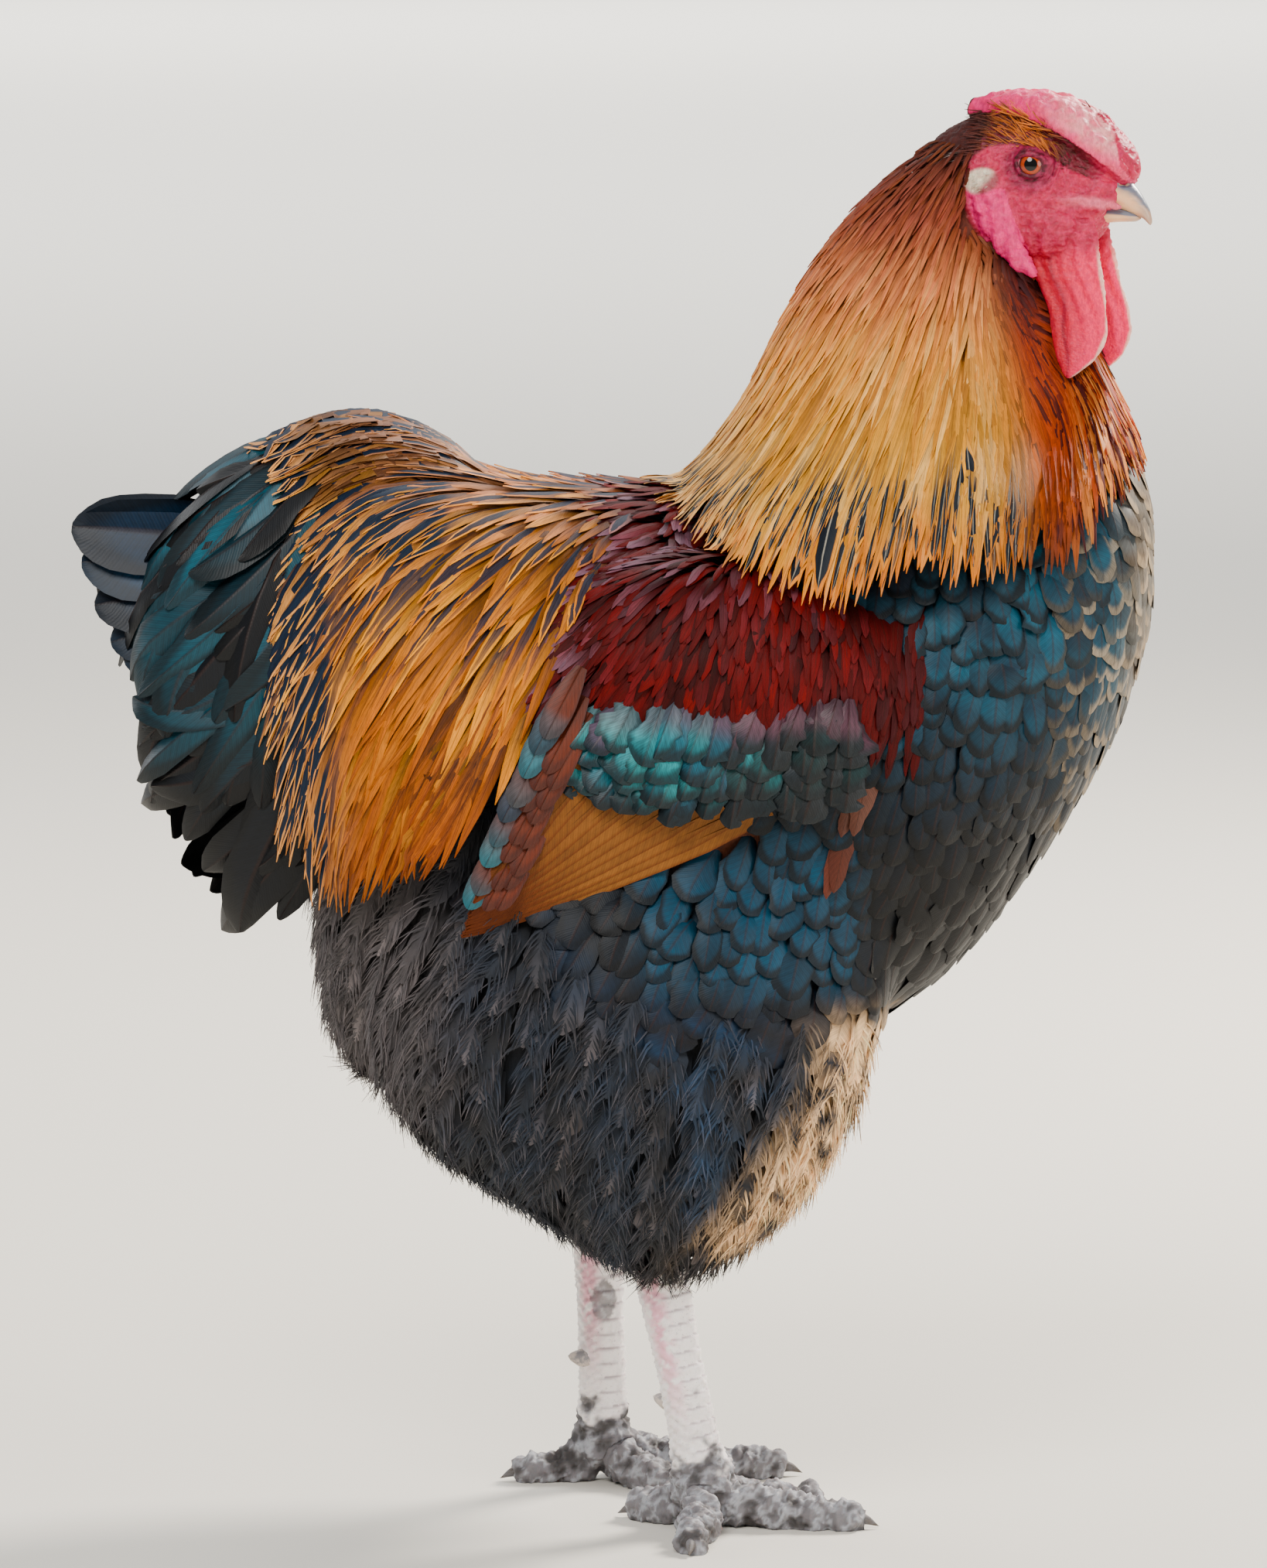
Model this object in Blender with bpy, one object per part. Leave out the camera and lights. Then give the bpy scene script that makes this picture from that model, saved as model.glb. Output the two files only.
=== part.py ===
"""A wyandotte rooster, life size, standing still.

The bird faces +X, its left is +Y and +Z is up, in metres. The origin is on the floor under the middle of
the bird. Each named part of the body is one closed object, and touching parts keep a gap of GAP.
"""

import math
import random

import bmesh
import bpy
import numpy as np
from mathutils import Matrix, Vector
from mathutils.bvhtree import BVHTree

GAP = 0.0003  # between parts that touch
X_AXIS, Y_AXIS, Z_AXIS = Vector((1, 0, 0)), Vector((0, 1, 0)), Vector((0, 0, 1))

# Side profiles are rows of (x, top z, bottom z, half width), or of (z, back x, front x, half width).
TORSO = (
    (0.1945, 0.349, 0.343, 0.000),
    (0.1920, 0.372, 0.318, 0.026),
    (0.1840, 0.392, 0.291, 0.045),
    (0.1700, 0.402, 0.262, 0.060),
    (0.1480, 0.404, 0.229, 0.073),
    (0.1180, 0.400, 0.193, 0.083),
    (0.0800, 0.389, 0.173, 0.087),
    (0.0400, 0.376, 0.163, 0.087),
    (0.0000, 0.363, 0.157, 0.083),
    (-0.0350, 0.355, 0.153, 0.076),
    (-0.0650, 0.350, 0.154, 0.066),
    (-0.0880, 0.338, 0.163, 0.052),
    (-0.1010, 0.312, 0.181, 0.035),
    (-0.1060, 0.253, 0.245, 0.000),
)
RUMP = (
    (-0.0500, 0.345, 0.325, 0.000),
    (-0.0520, 0.366, 0.290, 0.032),
    (-0.0800, 0.374, 0.288, 0.034),
    (-0.1000, 0.366, 0.296, 0.026),
    (-0.1100, 0.338, 0.330, 0.000),
)
# The outside of the hackle, and the neck that it grows from.
CAPE = (
    (0.494, 0.128, 0.140, 0.000),
    (0.490, 0.113, 0.146, 0.015),
    (0.474, 0.092, 0.151, 0.025),
    (0.455, 0.076, 0.158, 0.034),
    (0.431, 0.062, 0.169, 0.047),
    (0.406, 0.050, 0.181, 0.063),
    (0.385, 0.036, 0.190, 0.078),
    (0.366, 0.018, 0.194, 0.089),
    (0.345, 0.008, 0.195, 0.096),
    (0.310, 0.000, 0.196, 0.101),
    (0.300, 0.080, 0.120, 0.000),
)
NECK = (
    (0.494, 0.130, 0.140, 0.000),
    (0.490, 0.111, 0.145, 0.014),
    (0.474, 0.0915, 0.148, 0.023),
    (0.455, 0.0775, 0.154, 0.031),
    (0.431, 0.0655, 0.165, 0.043),
    (0.406, 0.055, 0.176, 0.058),
    (0.392, 0.054, 0.178, 0.061),
    (0.374, 0.066, 0.160, 0.050),
    (0.364, 0.090, 0.120, 0.000),
)
# The outside of the saddle feathers, and of the tail coverts behind them.
SADDLE = (
    (0.0340, 0.345, 0.255, 0.000),
    (0.0240, 0.374, 0.200, 0.086),
    (0.0000, 0.373, 0.185, 0.093),
    (-0.0300, 0.374, 0.180, 0.095),
    (-0.0600, 0.380, 0.180, 0.092),
    (-0.0850, 0.383, 0.186, 0.082),
    (-0.1050, 0.374, 0.200, 0.066),
    (-0.1220, 0.350, 0.222, 0.046),
    (-0.1300, 0.300, 0.265, 0.000),
)
SADDLE_CORE = (
    (0.0180, 0.350, 0.320, 0.000),
    (0.0140, 0.367, 0.285, 0.066),
    (-0.0100, 0.369, 0.276, 0.075),
    (-0.0450, 0.371, 0.272, 0.075),
    (-0.0750, 0.376, 0.276, 0.065),
    (-0.0920, 0.368, 0.290, 0.050),
    (-0.0980, 0.335, 0.325, 0.000),
)
COVERTS = (
    (-0.0360, 0.330, 0.300, 0.000),
    (-0.0440, 0.368, 0.262, 0.030),
    (-0.0620, 0.389, 0.226, 0.040),
    (-0.0900, 0.3985, 0.198, 0.045),
    (-0.1200, 0.391, 0.198, 0.044),
    (-0.1480, 0.372, 0.222, 0.039),
    (-0.1660, 0.347, 0.250, 0.030),
    (-0.1740, 0.310, 0.295, 0.000),
)
# The room that the free ends of the main tail feathers keep to, as two corners.
TAIL_ROOM = ((-0.210, -0.0235, 0.286), (-0.110, 0.0235, 0.382))

# The legs: each foot is where the shank meets the toes, and each hock where it leaves the thigh.
SIDES = {"right": -1, "left": 1}
HOCK = {"right": (0.0170, -0.040, 0.094), "left": (-0.0055, 0.038, 0.100)}
FOOT = {"right": (0.0335, -0.043, 0.013), "left": (-0.0030, 0.041, 0.013)}
THIGH_SHIFT = {"right": 0.000, "left": -0.014}  # how far the thigh's lower end leans along X
THIGH = (
    (0.2700, -0.030, 0.070, 0.000, 0.044),
    (0.2600, -0.062, 0.092, 0.030, 0.045),
    (0.2250, -0.078, 0.100, 0.046, 0.048),
    (0.1900, -0.086, 0.100, 0.050, 0.050),
    (0.1650, -0.082, 0.090, 0.048, 0.050),
    (0.1420, -0.064, 0.080, 0.043, 0.048),
    (0.1240, -0.036, 0.068, 0.036, 0.045),
    (0.1090, -0.012, 0.050, 0.027, 0.042),
    (0.0985, 0.006, 0.036, 0.017, 0.041),
    (0.0940, 0.018, 0.026, 0.000, 0.040),
)
# Half the shank's width from the side and from the front, as (share of its length, width).
SHANK_HALF = ((0, 0.0098), (0.22, 0.0092), (0.45, 0.0082), (0.75, 0.0086), (0.92, 0.0100), (1, 0.0080))
SHANK_ACROSS = ((0, 0.0086), (0.22, 0.0080), (0.45, 0.0071), (0.75, 0.0075), (0.92, 0.0086), (1, 0.0070))
CLAW_LENGTH = 0.012
# A toe swells at its pads, as (share of its length, height of its middle, half height, half width).
TOE = (
    (0.00, 0.0110, 0.0000, 0.0000),
    (0.06, 0.0100, 0.0062, 0.0052),
    (0.30, 0.0070, 0.0062, 0.0050),
    (0.55, 0.0048, 0.0058, 0.0054),
    (0.75, 0.0040, 0.0050, 0.0045),
    (0.94, 0.0036, 0.0046, 0.0043),
    (1.00, 0.0034, 0.0000, 0.0000),
)
CLAW = ((0.00, 0.0036, 0.0000), (0.10, 0.0039, 0.0027), (0.60, 0.0036, 0.0021), (1.00, 0.0010, 0.0000))
# Each toe is (name, heading in degrees from +X towards +Y, length) for the right foot and the left one.
TOES = {
    "right": (("middle", -6, 0.049), ("inner", 38, 0.044), ("outer", -96, 0.045), ("hind", 152, 0.022)),
    "left": (("middle", 6, 0.060), ("inner", -46, 0.044), ("outer", 50, 0.046), ("hind", 184, 0.025)),
}

# The head is modelled facing +X and then turned towards the bird's right about the neck.
HEAD_TURN = math.radians(-15)
HEAD_PIVOT = Vector((0.128, 0.0, 0.470))
SKULL = (
    (0.1120, 0.486, 0.478, 0.000),
    (0.1150, 0.495, 0.466, 0.011),
    (0.1260, 0.503, 0.453, 0.0165),
    (0.1380, 0.5065, 0.447, 0.0190),
    (0.1500, 0.5055, 0.447, 0.0190),
    (0.1610, 0.501, 0.452, 0.0165),
    (0.1710, 0.494, 0.459, 0.0125),
    (0.1780, 0.488, 0.465, 0.0085),
    (0.1810, 0.480, 0.474, 0.000),
)
EYE = Vector((0.1545, 0.0163, 0.4886))
EYE_RADIUS = 0.0052
# The lids, the cheek and the ear of one side, as (centre, radii).
FACE = (
    ((0.1545, 0.0153, 0.4886), (0.0078, 0.0040, 0.0072)),
    ((0.1580, 0.0125, 0.4660), (0.0120, 0.0060, 0.0100)),
    ((0.1385, 0.0160, 0.4835), (0.0048, 0.0036, 0.0042)),
)
NOSTRIL = Vector((0.1865, 0.0058, 0.4815))
BEAK_UPPER = (
    (0.1660, 0.482, 0.478, 0.000),
    (0.1672, 0.4885, 0.4745, 0.0086),
    (0.1780, 0.4885, 0.4735, 0.0080),
    (0.1860, 0.4858, 0.4722, 0.0064),
    (0.1912, 0.4822, 0.4706, 0.0046),
    (0.1950, 0.4772, 0.4690, 0.0028),
    (0.1975, 0.4726, 0.4672, 0.0013),
    (0.1982, 0.4695, 0.4680, 0.000),
)
BEAK_LOWER = (
    (0.1650, 0.4715, 0.4700, 0.000),
    (0.1660, 0.4740, 0.4672, 0.0076),
    (0.1780, 0.4735, 0.4668, 0.0064),
    (0.1860, 0.4722, 0.4668, 0.0046),
    (0.1920, 0.4702, 0.4664, 0.0024),
    (0.1945, 0.4680, 0.4672, 0.000),
)
# The comb is a thick band along this line, as (x, z, half height, half width).
COMB = (
    (0.1915, 0.4815, 0.0000, 0.0000),
    (0.1895, 0.4838, 0.0040, 0.0060),
    (0.1845, 0.4900, 0.0074, 0.0105),
    (0.1752, 0.4977, 0.0084, 0.0132),
    (0.1655, 0.5038, 0.0082, 0.0138),
    (0.1550, 0.5076, 0.0066, 0.0115),
    (0.1450, 0.5093, 0.0048, 0.0080),
    (0.1360, 0.5088, 0.0038, 0.0052),
    (0.1300, 0.5075, 0.0026, 0.0034),
    (0.1270, 0.5065, 0.0000, 0.0000),
)

WATTLE = (
    (0.4720, 0.1610, 0.1690),
    (0.4680, 0.1560, 0.1763),
    (0.4580, 0.1545, 0.1785),
    (0.4470, 0.1555, 0.1800),
    (0.4375, 0.1590, 0.1818),
    (0.4290, 0.1605, 0.1822),
    (0.4200, 0.1630, 0.1785),
    (0.4155, 0.1650, 0.1735),
    (0.4120, 0.1668, 0.1688),
)
LOBE = (
    (0.4840, 0.1350, 0.1400),
    (0.4800, 0.1335, 0.1450),
    (0.4740, 0.1340, 0.1468),
    (0.4680, 0.1362, 0.1490),
    (0.4620, 0.1398, 0.1515),
    (0.4560, 0.1445, 0.1545),
    (0.4515, 0.1500, 0.1572),
    (0.4485, 0.1560, 0.1590),
)
# The folded wing on the left side: the slab under the flight feathers and the one under the bar,
# as (x, y, z, half height, half thickness).
FLIGHT_CORE = (
    (0.0620, 0.084, 0.276, 0.000, 0.000),
    (0.0560, 0.085, 0.274, 0.012, 0.0050),
    (0.0300, 0.087, 0.269, 0.018, 0.0060),
    (0.0050, 0.087, 0.265, 0.020, 0.0060),
    (-0.0120, 0.086, 0.260, 0.016, 0.0050),
    (-0.0200, 0.085, 0.256, 0.000, 0.000),
)
BAR_CORE = (
    (0.0880, 0.086, 0.284, 0.000, 0.000),
    (0.0820, 0.090, 0.285, 0.009, 0.0032),
    (0.0500, 0.0975, 0.287, 0.011, 0.0036),
    (0.0150, 0.0985, 0.292, 0.011, 0.0036),
    (-0.0020, 0.0970, 0.296, 0.009, 0.0032),
    (-0.0090, 0.096, 0.298, 0.000, 0.000),
)
# The room that the flight feathers and those of the bar keep to, and the wing's front.
FLIGHT_ROOM = (
    (0.0660, 0.084, 0.274, 0.000, 0.000),
    (0.0580, 0.087, 0.272, 0.018, 0.0100),
    (0.0300, 0.089, 0.270, 0.026, 0.0110),
    (-0.0050, 0.089, 0.270, 0.034, 0.0110),
    (-0.0330, 0.087, 0.260, 0.040, 0.0110),
    (-0.0540, 0.086, 0.238, 0.022, 0.0100),
    (-0.0620, 0.085, 0.222, 0.000, 0.000),
)
BAR_ROOM = (
    (0.0940, 0.085, 0.280, 0.000, 0.000),
    (0.0860, 0.090, 0.279, 0.020, 0.0120),
    (0.0400, 0.096, 0.280, 0.024, 0.0120),
    (0.0000, 0.097, 0.282, 0.025, 0.0120),
    (-0.0180, 0.096, 0.276, 0.020, 0.0110),
    (-0.0260, 0.095, 0.270, 0.000, 0.000),
)
BOW_CENTRE = (0.045, 0.0635, 0.306)
BOW_RADII = (0.075, 0.037, 0.047)

# Feathers. Each row of vanes is (height of the roots, how many, length, half width, steps along each).
HACKLE_ABOVE = Vector((0.140, 0.0, 0.520))  # the feathers run away from this point
HACKLE_ROWS = (
    (0.404, 14, 0.104, 0.0112, 4),
    (0.426, 10, 0.086, 0.0112, 4),
    (0.450, 9, 0.068, 0.0090, 3),
    (0.473, 6, 0.052, 0.0075, 3),
)
# How long the hackle's feathers are round the neck, as (share of the way forwards, share of the length).
HACKLE_SHARE = ((-1.0, 0.49), (-0.4, 0.82), (0.0, 0.66), (0.4, 0.54), (1.0, 0.40))
# Each row of saddle vanes is (turn down from the ridge in degrees, first x, last x, how many, share of
# the reach).
SADDLE_ABOVE = Vector((0.060, 0.0, 0.470))
SADDLE_ROWS = (
    (58, -0.016, -0.080, 7, 1.00),
    (38, -0.002, -0.078, 6, 0.76),
    (18, 0.002, -0.072, 4, 0.62),
)
SADDLE_REACH = (
    (-0.0850, 0.080),
    (-0.0700, 0.106),
    (-0.0500, 0.116),
    (-0.0320, 0.124),
    (-0.0120, 0.092),
    (0.0080, 0.052),
)
# Each row of tail coverts is (first x, first turn, last x, last turn, how many, first and last length).
COVERTS_ABOVE = Vector((-0.060, 0.0, 0.420))
COVERT_ROWS = (
    (-0.066, 56, -0.102, 20, 6, 0.158, 0.146),
    (-0.074, 36, -0.094, 14, 3, 0.108, 0.080),
)
# How a feather's half width, its height over the form it lies on and its thickness change from root to tip,
# as (share of the length, value).
LANCET = ((0, 0.60), (0.25, 1.00), (0.50, 0.92), (0.75, 0.66), (1, 0.10))
ROUNDED = ((0, 0.50), (0.25, 0.90), (0.50, 1.00), (0.75, 0.94), (1, 0.38))
RISE = ((0, -0.0100), (0.25, -0.0034), (0.50, -0.0010), (0.75, 0.0008), (1, 0.0016))
THICKNESS = ((0, 0.0011), (0.50, 0.0009), (1, 0.0005))
TILT = math.radians(5)

# Materials, as (colour, roughness).
LOOKS = {
    "hackle": ((0.62, 0.36, 0.12), 0.55),
    "saddle": ((0.60, 0.31, 0.06), 0.55),
    "breast": ((0.05, 0.12, 0.14), 0.5),
    "fluff": ((0.09, 0.08, 0.08), 0.9),
    "wing": ((0.25, 0.05, 0.03), 0.5),
    "tail": ((0.03, 0.07, 0.08), 0.4),
    "flesh": ((0.75, 0.06, 0.12), 0.5),
    "beak": ((0.72, 0.55, 0.38), 0.4),
    "eye": ((0.35, 0.10, 0.02), 0.1),
    "shank": ((0.75, 0.68, 0.55), 0.6),
    "claw": ((0.30, 0.26, 0.22), 0.6),
}


def empty_scene():
    for old in list(bpy.data.objects):
        bpy.data.objects.remove(old)
    rooster = bpy.data.collections.new("rooster")
    bpy.context.scene.collection.children.link(rooster)
    return rooster


def look(name):
    """The material of that name, made once."""
    if name in bpy.data.materials:
        return bpy.data.materials[name]
    colour, roughness = LOOKS[name]
    material = bpy.data.materials.new(name)
    material.use_nodes = True
    shader = material.node_tree.nodes["Principled BSDF"]
    shader.inputs["Base Color"].default_value = (*colour, 1)
    shader.inputs["Roughness"].default_value = roughness
    return material


def through(rows, per_gap):
    """More rows along a smooth curve through the given ones, which doesn't overshoot between them."""
    rows = np.array(rows, float)
    steps = np.diff(rows, axis=0)
    slopes = np.zeros_like(rows)
    before, after = steps[:-1], steps[1:]
    same_way = before * after > 0
    total = np.where(same_way, before + after, 1)
    slopes[1:-1] = np.where(same_way, 2 * before * after / total, 0)
    slopes[0], slopes[-1] = steps[0], steps[-1]
    found = []
    for i in range(len(rows) - 1):
        for t in np.arange(per_gap) / per_gap:
            found.append(
                (2 * t**3 - 3 * t**2 + 1) * rows[i]
                + (t**3 - 2 * t**2 + t) * slopes[i]
                + (3 * t**2 - 2 * t**3) * rows[i + 1]
                + (t**3 - t**2) * slopes[i + 1]
            )
    return np.array(found + [rows[-1]])


def loft(rings):
    """Vertices and faces of a closed form through rings of equal length, which starts and ends at a point."""
    count = len(rings[1])
    vertices = [rings[0][0]]
    for ring in rings[1:-1]:
        vertices.extend(ring)
    vertices.append(rings[-1][0])
    faces = []
    for j in range(count):
        faces.append((0, 1 + (j + 1) % count, 1 + j))
    for i in range(len(rings) - 3):
        low = 1 + i * count
        for j in range(count):
            k = (j + 1) % count
            faces.append((low + j, low + k, low + count + k))
            faces.append((low + j, low + count + k, low + count + j))
    low = 1 + (len(rings) - 3) * count
    for j in range(count):
        faces.append((low + j, low + (j + 1) % count, len(vertices) - 1))
    return vertices, faces


def oval(centre, up, side, half_up, half_side, sides):
    """Points round an oval, in the plane of the unit vectors up and side."""
    turns = [2 * math.pi * j / sides for j in range(sides)]
    return [centre + up * (half_up * math.cos(t)) + side * (half_side * math.sin(t)) for t in turns]


def solid(name, vertices, faces, material):
    """A mesh object with its faces pointing out, in no collection yet."""
    mesh = bpy.data.meshes.new(name)
    mesh.from_pydata([tuple(v) for v in vertices], [], faces)
    made = bmesh.new()
    made.from_mesh(mesh)
    bmesh.ops.recalc_face_normals(made, faces=made.faces)
    made.to_mesh(mesh)
    made.free()
    mesh.materials.append(look(material))
    mesh.shade_smooth()
    return bpy.data.objects.new(name, mesh)


def lengthwise(name, rows, material, sides, per_gap):
    """A form along X, from rows of (x, top z, bottom z, half width)."""
    rows = through(rows, per_gap)
    rings = []
    for i, (x, top, bottom, half) in enumerate(rows):
        centre = Vector((x, 0, (top + bottom) / 2))
        ends = i in (0, len(rows) - 1)
        rings.append([centre] if ends else oval(centre, Z_AXIS, Y_AXIS, (top - bottom) / 2, half, sides))
    return solid(name, *loft(rings), material)


def upright(name, rows, material, sides, per_gap):
    """A form along Z, from rows of (z, back x, front x, half width, centre y)."""
    rows = through(rows, per_gap)
    rings = []
    for i, (z, back, front, half, y) in enumerate(rows):
        centre = Vector(((back + front) / 2, y, z))
        ends = i in (0, len(rows) - 1)
        rings.append([centre] if ends else oval(centre, X_AXIS, Y_AXIS, (front - back) / 2, half, sides))
    return solid(name, *loft(rings), material)


def limb(name, rows, material, sides, per_gap, side=Y_AXIS):
    """A form along any line, from rows of (x, y, z, half height, half width)."""
    rows = through(rows, per_gap)
    points = [Vector(row[:3]) for row in rows]
    rings = []
    for i, row in enumerate(rows):
        ahead = (points[min(i + 1, len(rows) - 1)] - points[max(i - 1, 0)]).normalized()
        across = (side - ahead * side.dot(ahead)).normalized()
        if i in (0, len(rows) - 1):
            rings.append([points[i]])
            continue
        rings.append(oval(points[i], ahead.cross(across), across, row[3], row[4], sides))
    return solid(name, *loft(rings), material)


def ball(name, centre, radii, material, segments, rings, turn=0.0):
    """An ellipsoid from Blender's sphere, turned about Y."""
    mesh = bpy.data.meshes.new(name)
    made = bmesh.new()
    bmesh.ops.create_uvsphere(made, u_segments=segments, v_segments=rings, radius=1)
    shape = Matrix.Translation(centre) @ Matrix.Rotation(turn, 4, "Y") @ Matrix.Diagonal((*radii, 1))
    made.transform(shape)
    made.to_mesh(mesh)
    made.free()
    mesh.materials.append(look(material))
    mesh.shade_smooth()
    return bpy.data.objects.new(name, mesh)


def largest_body(mesh):
    """Leaves only the piece of the mesh with the most surface."""
    made = bmesh.new()
    made.from_mesh(mesh)
    left = set(made.faces)
    bodies = []
    while left:
        body, edge = set(), [next(iter(left))]
        while edge:
            face = edge.pop()
            if face in body:
                continue
            body.add(face)
            for side in face.edges:
                edge.extend(other for other in side.link_faces if other not in body)
        left -= body
        bodies.append(body)
    bodies.sort(key=lambda body: sum(face.calc_area() for face in body))
    scraps = {vertex for body in bodies[:-1] for face in body for vertex in face.verts}
    bmesh.ops.delete(made, geom=list(scraps), context="VERTS")
    made.to_mesh(mesh)
    made.free()


def apply_boolean(body, others, operation):
    """Joins others to body or cuts them from it, and removes them. The body keeps its own material."""
    own = body.data.materials[0]
    helpers = bpy.data.collections.new("helpers")
    bpy.context.scene.collection.children.link(helpers)
    for other in others:
        helpers.objects.link(other)
    bpy.context.scene.collection.objects.link(body)
    modifier = body.modifiers.new("boolean", "BOOLEAN")
    modifier.operation = operation
    modifier.solver = "MANIFOLD"
    modifier.operand_type = "COLLECTION"
    modifier.collection = helpers
    bpy.context.view_layer.update()
    evaluated = body.evaluated_get(bpy.context.evaluated_depsgraph_get())
    mesh = bpy.data.meshes.new_from_object(evaluated)
    mesh.materials.clear()
    mesh.materials.append(own)
    body.modifiers.clear()
    body.data = mesh
    largest_body(mesh)
    bpy.context.scene.collection.objects.unlink(body)
    for other in others:
        bpy.data.objects.remove(other)
    bpy.data.collections.remove(helpers)
    return body


def swell(body, by):
    """Moves the whole surface of body outwards by the same distance."""
    made = bmesh.new()
    made.from_mesh(body.data)
    bmesh.ops.recalc_face_normals(made, faces=made.faces)
    made.normal_update()
    moves = [vertex.normal * (by * min(vertex.calc_shell_factor(), 3)) for vertex in made.verts]
    for vertex, move in zip(made.verts, moves):
        vertex.co += move
    made.to_mesh(body.data)
    made.free()
    return body


def cut(body, *others):
    """Cuts each of the others from body, and leaves a gap round it."""
    for other in others:
        apply_boolean(body, [swell(other, GAP)], "DIFFERENCE")
    return body


def join(body, others):
    return apply_boolean(body, list(others), "UNION")


def block(low, high):
    """A box between two corners."""
    mesh = bpy.data.meshes.new("block")
    made = bmesh.new()
    bmesh.ops.create_cube(made, size=1)
    low, high = Vector(low), Vector(high)
    made.transform(Matrix.Translation((low + high) / 2) @ Matrix.Diagonal((*(high - low), 1)))
    made.to_mesh(mesh)
    made.free()
    return bpy.data.objects.new("block", mesh)


def beyond_middle(side):
    """A block over the whole other half of the bird."""
    far = -SIDES[side] * 0.2
    return block((-0.3, min(far, 0), 0), (0.3, max(far, 0), 0.6))


def surface(body):
    """A search tree of a form's surface. The form itself is removed."""
    made = bmesh.new()
    made.from_mesh(body.data)
    tree = BVHTree.FromBMesh(made)
    made.free()
    bpy.data.objects.remove(body)
    return tree


def on_form(rows, x, turn, side):
    """The point at this x on a lengthwise form, turned down from its ridge."""
    rows = np.array(rows[::-1])
    top, bottom, half = (np.interp(x, rows[:, 0], rows[:, k]) for k in (1, 2, 3))
    height = (top + bottom) / 2 + (top - bottom) / 2 * math.cos(turn)
    return Vector((x, SIDES[side] * half * math.sin(turn), height))


def along(table, share):
    """The value of a table of (share, value) at this share."""
    return float(np.interp(share, *zip(*table)))


def course(guide, start, above, length, steps, walls):
    """The middle line of a feather that runs over a form away from a point, and its outward directions."""
    points, outs = [], []
    place, out = guide.find_nearest(start)[:2]
    smaller = 3  # steps along the form for each step of the feather
    room = 0.0016  # between the middle line and a wall
    for i in range(steps + 1):
        point = place + out * along(RISE, i / steps)
        for wall in walls if i else ():
            found, normal = wall.find_nearest(point)[:2]
            if (point - found).dot(normal) < room:
                point = found + normal * room
        points.append(point)
        outs.append(out)
        for _ in range(smaller):
            way = place - above
            ahead = (way - out * way.dot(out)).normalized()
            place, normal = guide.find_nearest(place + ahead * (length / steps / smaller))[:2]
            out = (out + normal).normalized()
    return points, outs


def vane(points, outs, half, profile, tilt):
    """A flat feather: a strip with a box-like section along the points."""
    vertices, faces = [], []
    last = len(points) - 1
    for i, (point, out) in enumerate(zip(points, outs)):
        ahead = (points[min(i + 1, last)] - points[max(i - 1, 0)]).normalized()
        across = ahead.cross(out).normalized()
        up = across.cross(ahead)
        across = (across * math.cos(tilt) + up * math.sin(tilt)) * (half * along(profile, i / last))
        lift = up * (along(THICKNESS, i / last) / 2)
        for face_side in (lift, -lift):
            vertices += [point + across + face_side, point - across + face_side]
    for i in range(last):
        a, b = 4 * i, 4 * i + 4
        for j, k in ((0, 1), (1, 3), (3, 2), (2, 0)):
            faces.append((a + j, a + k, b + k))
            faces.append((a + j, b + k, b + j))
    end = 4 * last
    faces += [(0, 2, 3), (0, 3, 1), (end, end + 1, end + 3), (end, end + 3, end + 2)]
    return solid("vane", vertices, faces, "hackle")


def straight(root, tip, out, steps):
    """Evenly spaced points from a root to a tip, with one outward direction."""
    return [root.lerp(tip, i / steps) for i in range(steps + 1)], [out] * (steps + 1)


def torso():
    return lengthwise("torso", TORSO, "breast", 16, 2)


def neck():
    rows = [(*row, 0.0) for row in NECK]
    return upright("neck", rows, "hackle", 16, 1)


def rump():
    return lengthwise("rump", RUMP, "tail", 16, 1)


def thigh(side):
    sign, lean = SIDES[side], THIGH_SHIFT[side]
    top = THIGH[0][0]
    drop = top - THIGH[-1][0]
    rows = []
    for z, back, front, half, y in THIGH:
        shift = lean * ((top - z) / drop) ** 2
        rows.append((z, back + shift, front + shift, half, sign * y))
    return upright(f"thigh_{side}", rows, "fluff", 15, 1)


def shank(side):
    """The scaly part of the leg, with a ridge for each broad scale."""
    top, low = Vector(HOCK[side]), Vector(FOOT[side])
    down = (low - top).normalized()
    start, end = top - down * 0.012, low + down * 0.008
    scales = 5
    rows = [(*start, 0.0, 0.0)]
    for i in range(2 * scales + 1):
        share = 0.04 + 0.92 * i / (2 * scales)
        ridge = 0.0004 * (i % 2)
        half, across = along(SHANK_HALF, share) + ridge, along(SHANK_ACROSS, share) + ridge
        rows.append((*start.lerp(end, share), half, across))
    rows.append((*end, 0.0, 0.0))
    return limb(f"shank_{side}", rows, "shank", 10, 1)


def toe_line(side, heading, length):
    """The toe's start, its unit heading and its root height."""
    ahead = Vector((math.cos(math.radians(heading)), math.sin(math.radians(heading)), 0))
    return Vector(FOOT[side]) + ahead * 0.002, ahead


def flat_footed(body):
    """Presses what lies under the floor up to it, so that the sole is flat."""
    for vertex in body.data.vertices:
        vertex.co.z = max(vertex.co.z, 0.0)
    return body


def toe(side, name, heading, length):
    start, ahead = toe_line(side, heading, length)
    rows = []
    for share, z, half, across in TOE:
        point = start + ahead * (length * share)
        rows.append((point.x, point.y, z, half, across))
    side_way = Vector((-ahead.y, ahead.x, 0))
    return flat_footed(limb(f"toe_{side}_{name}", rows, "shank", 7, 1, side=side_way))


def claw(side, name, heading, length):
    start, ahead = toe_line(side, heading, length)
    sunk = 0.004
    base = start + ahead * (length - sunk)
    rows = []
    for share, z, half in CLAW:
        point = base + ahead * ((CLAW_LENGTH + sunk) * share)
        rows.append((point.x, point.y, z, half, half * 0.85))
    side_way = Vector((-ahead.y, ahead.x, 0))
    return limb(f"claw_{side}_{name}", rows, "claw", 6, 1, side=side_way)


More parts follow.
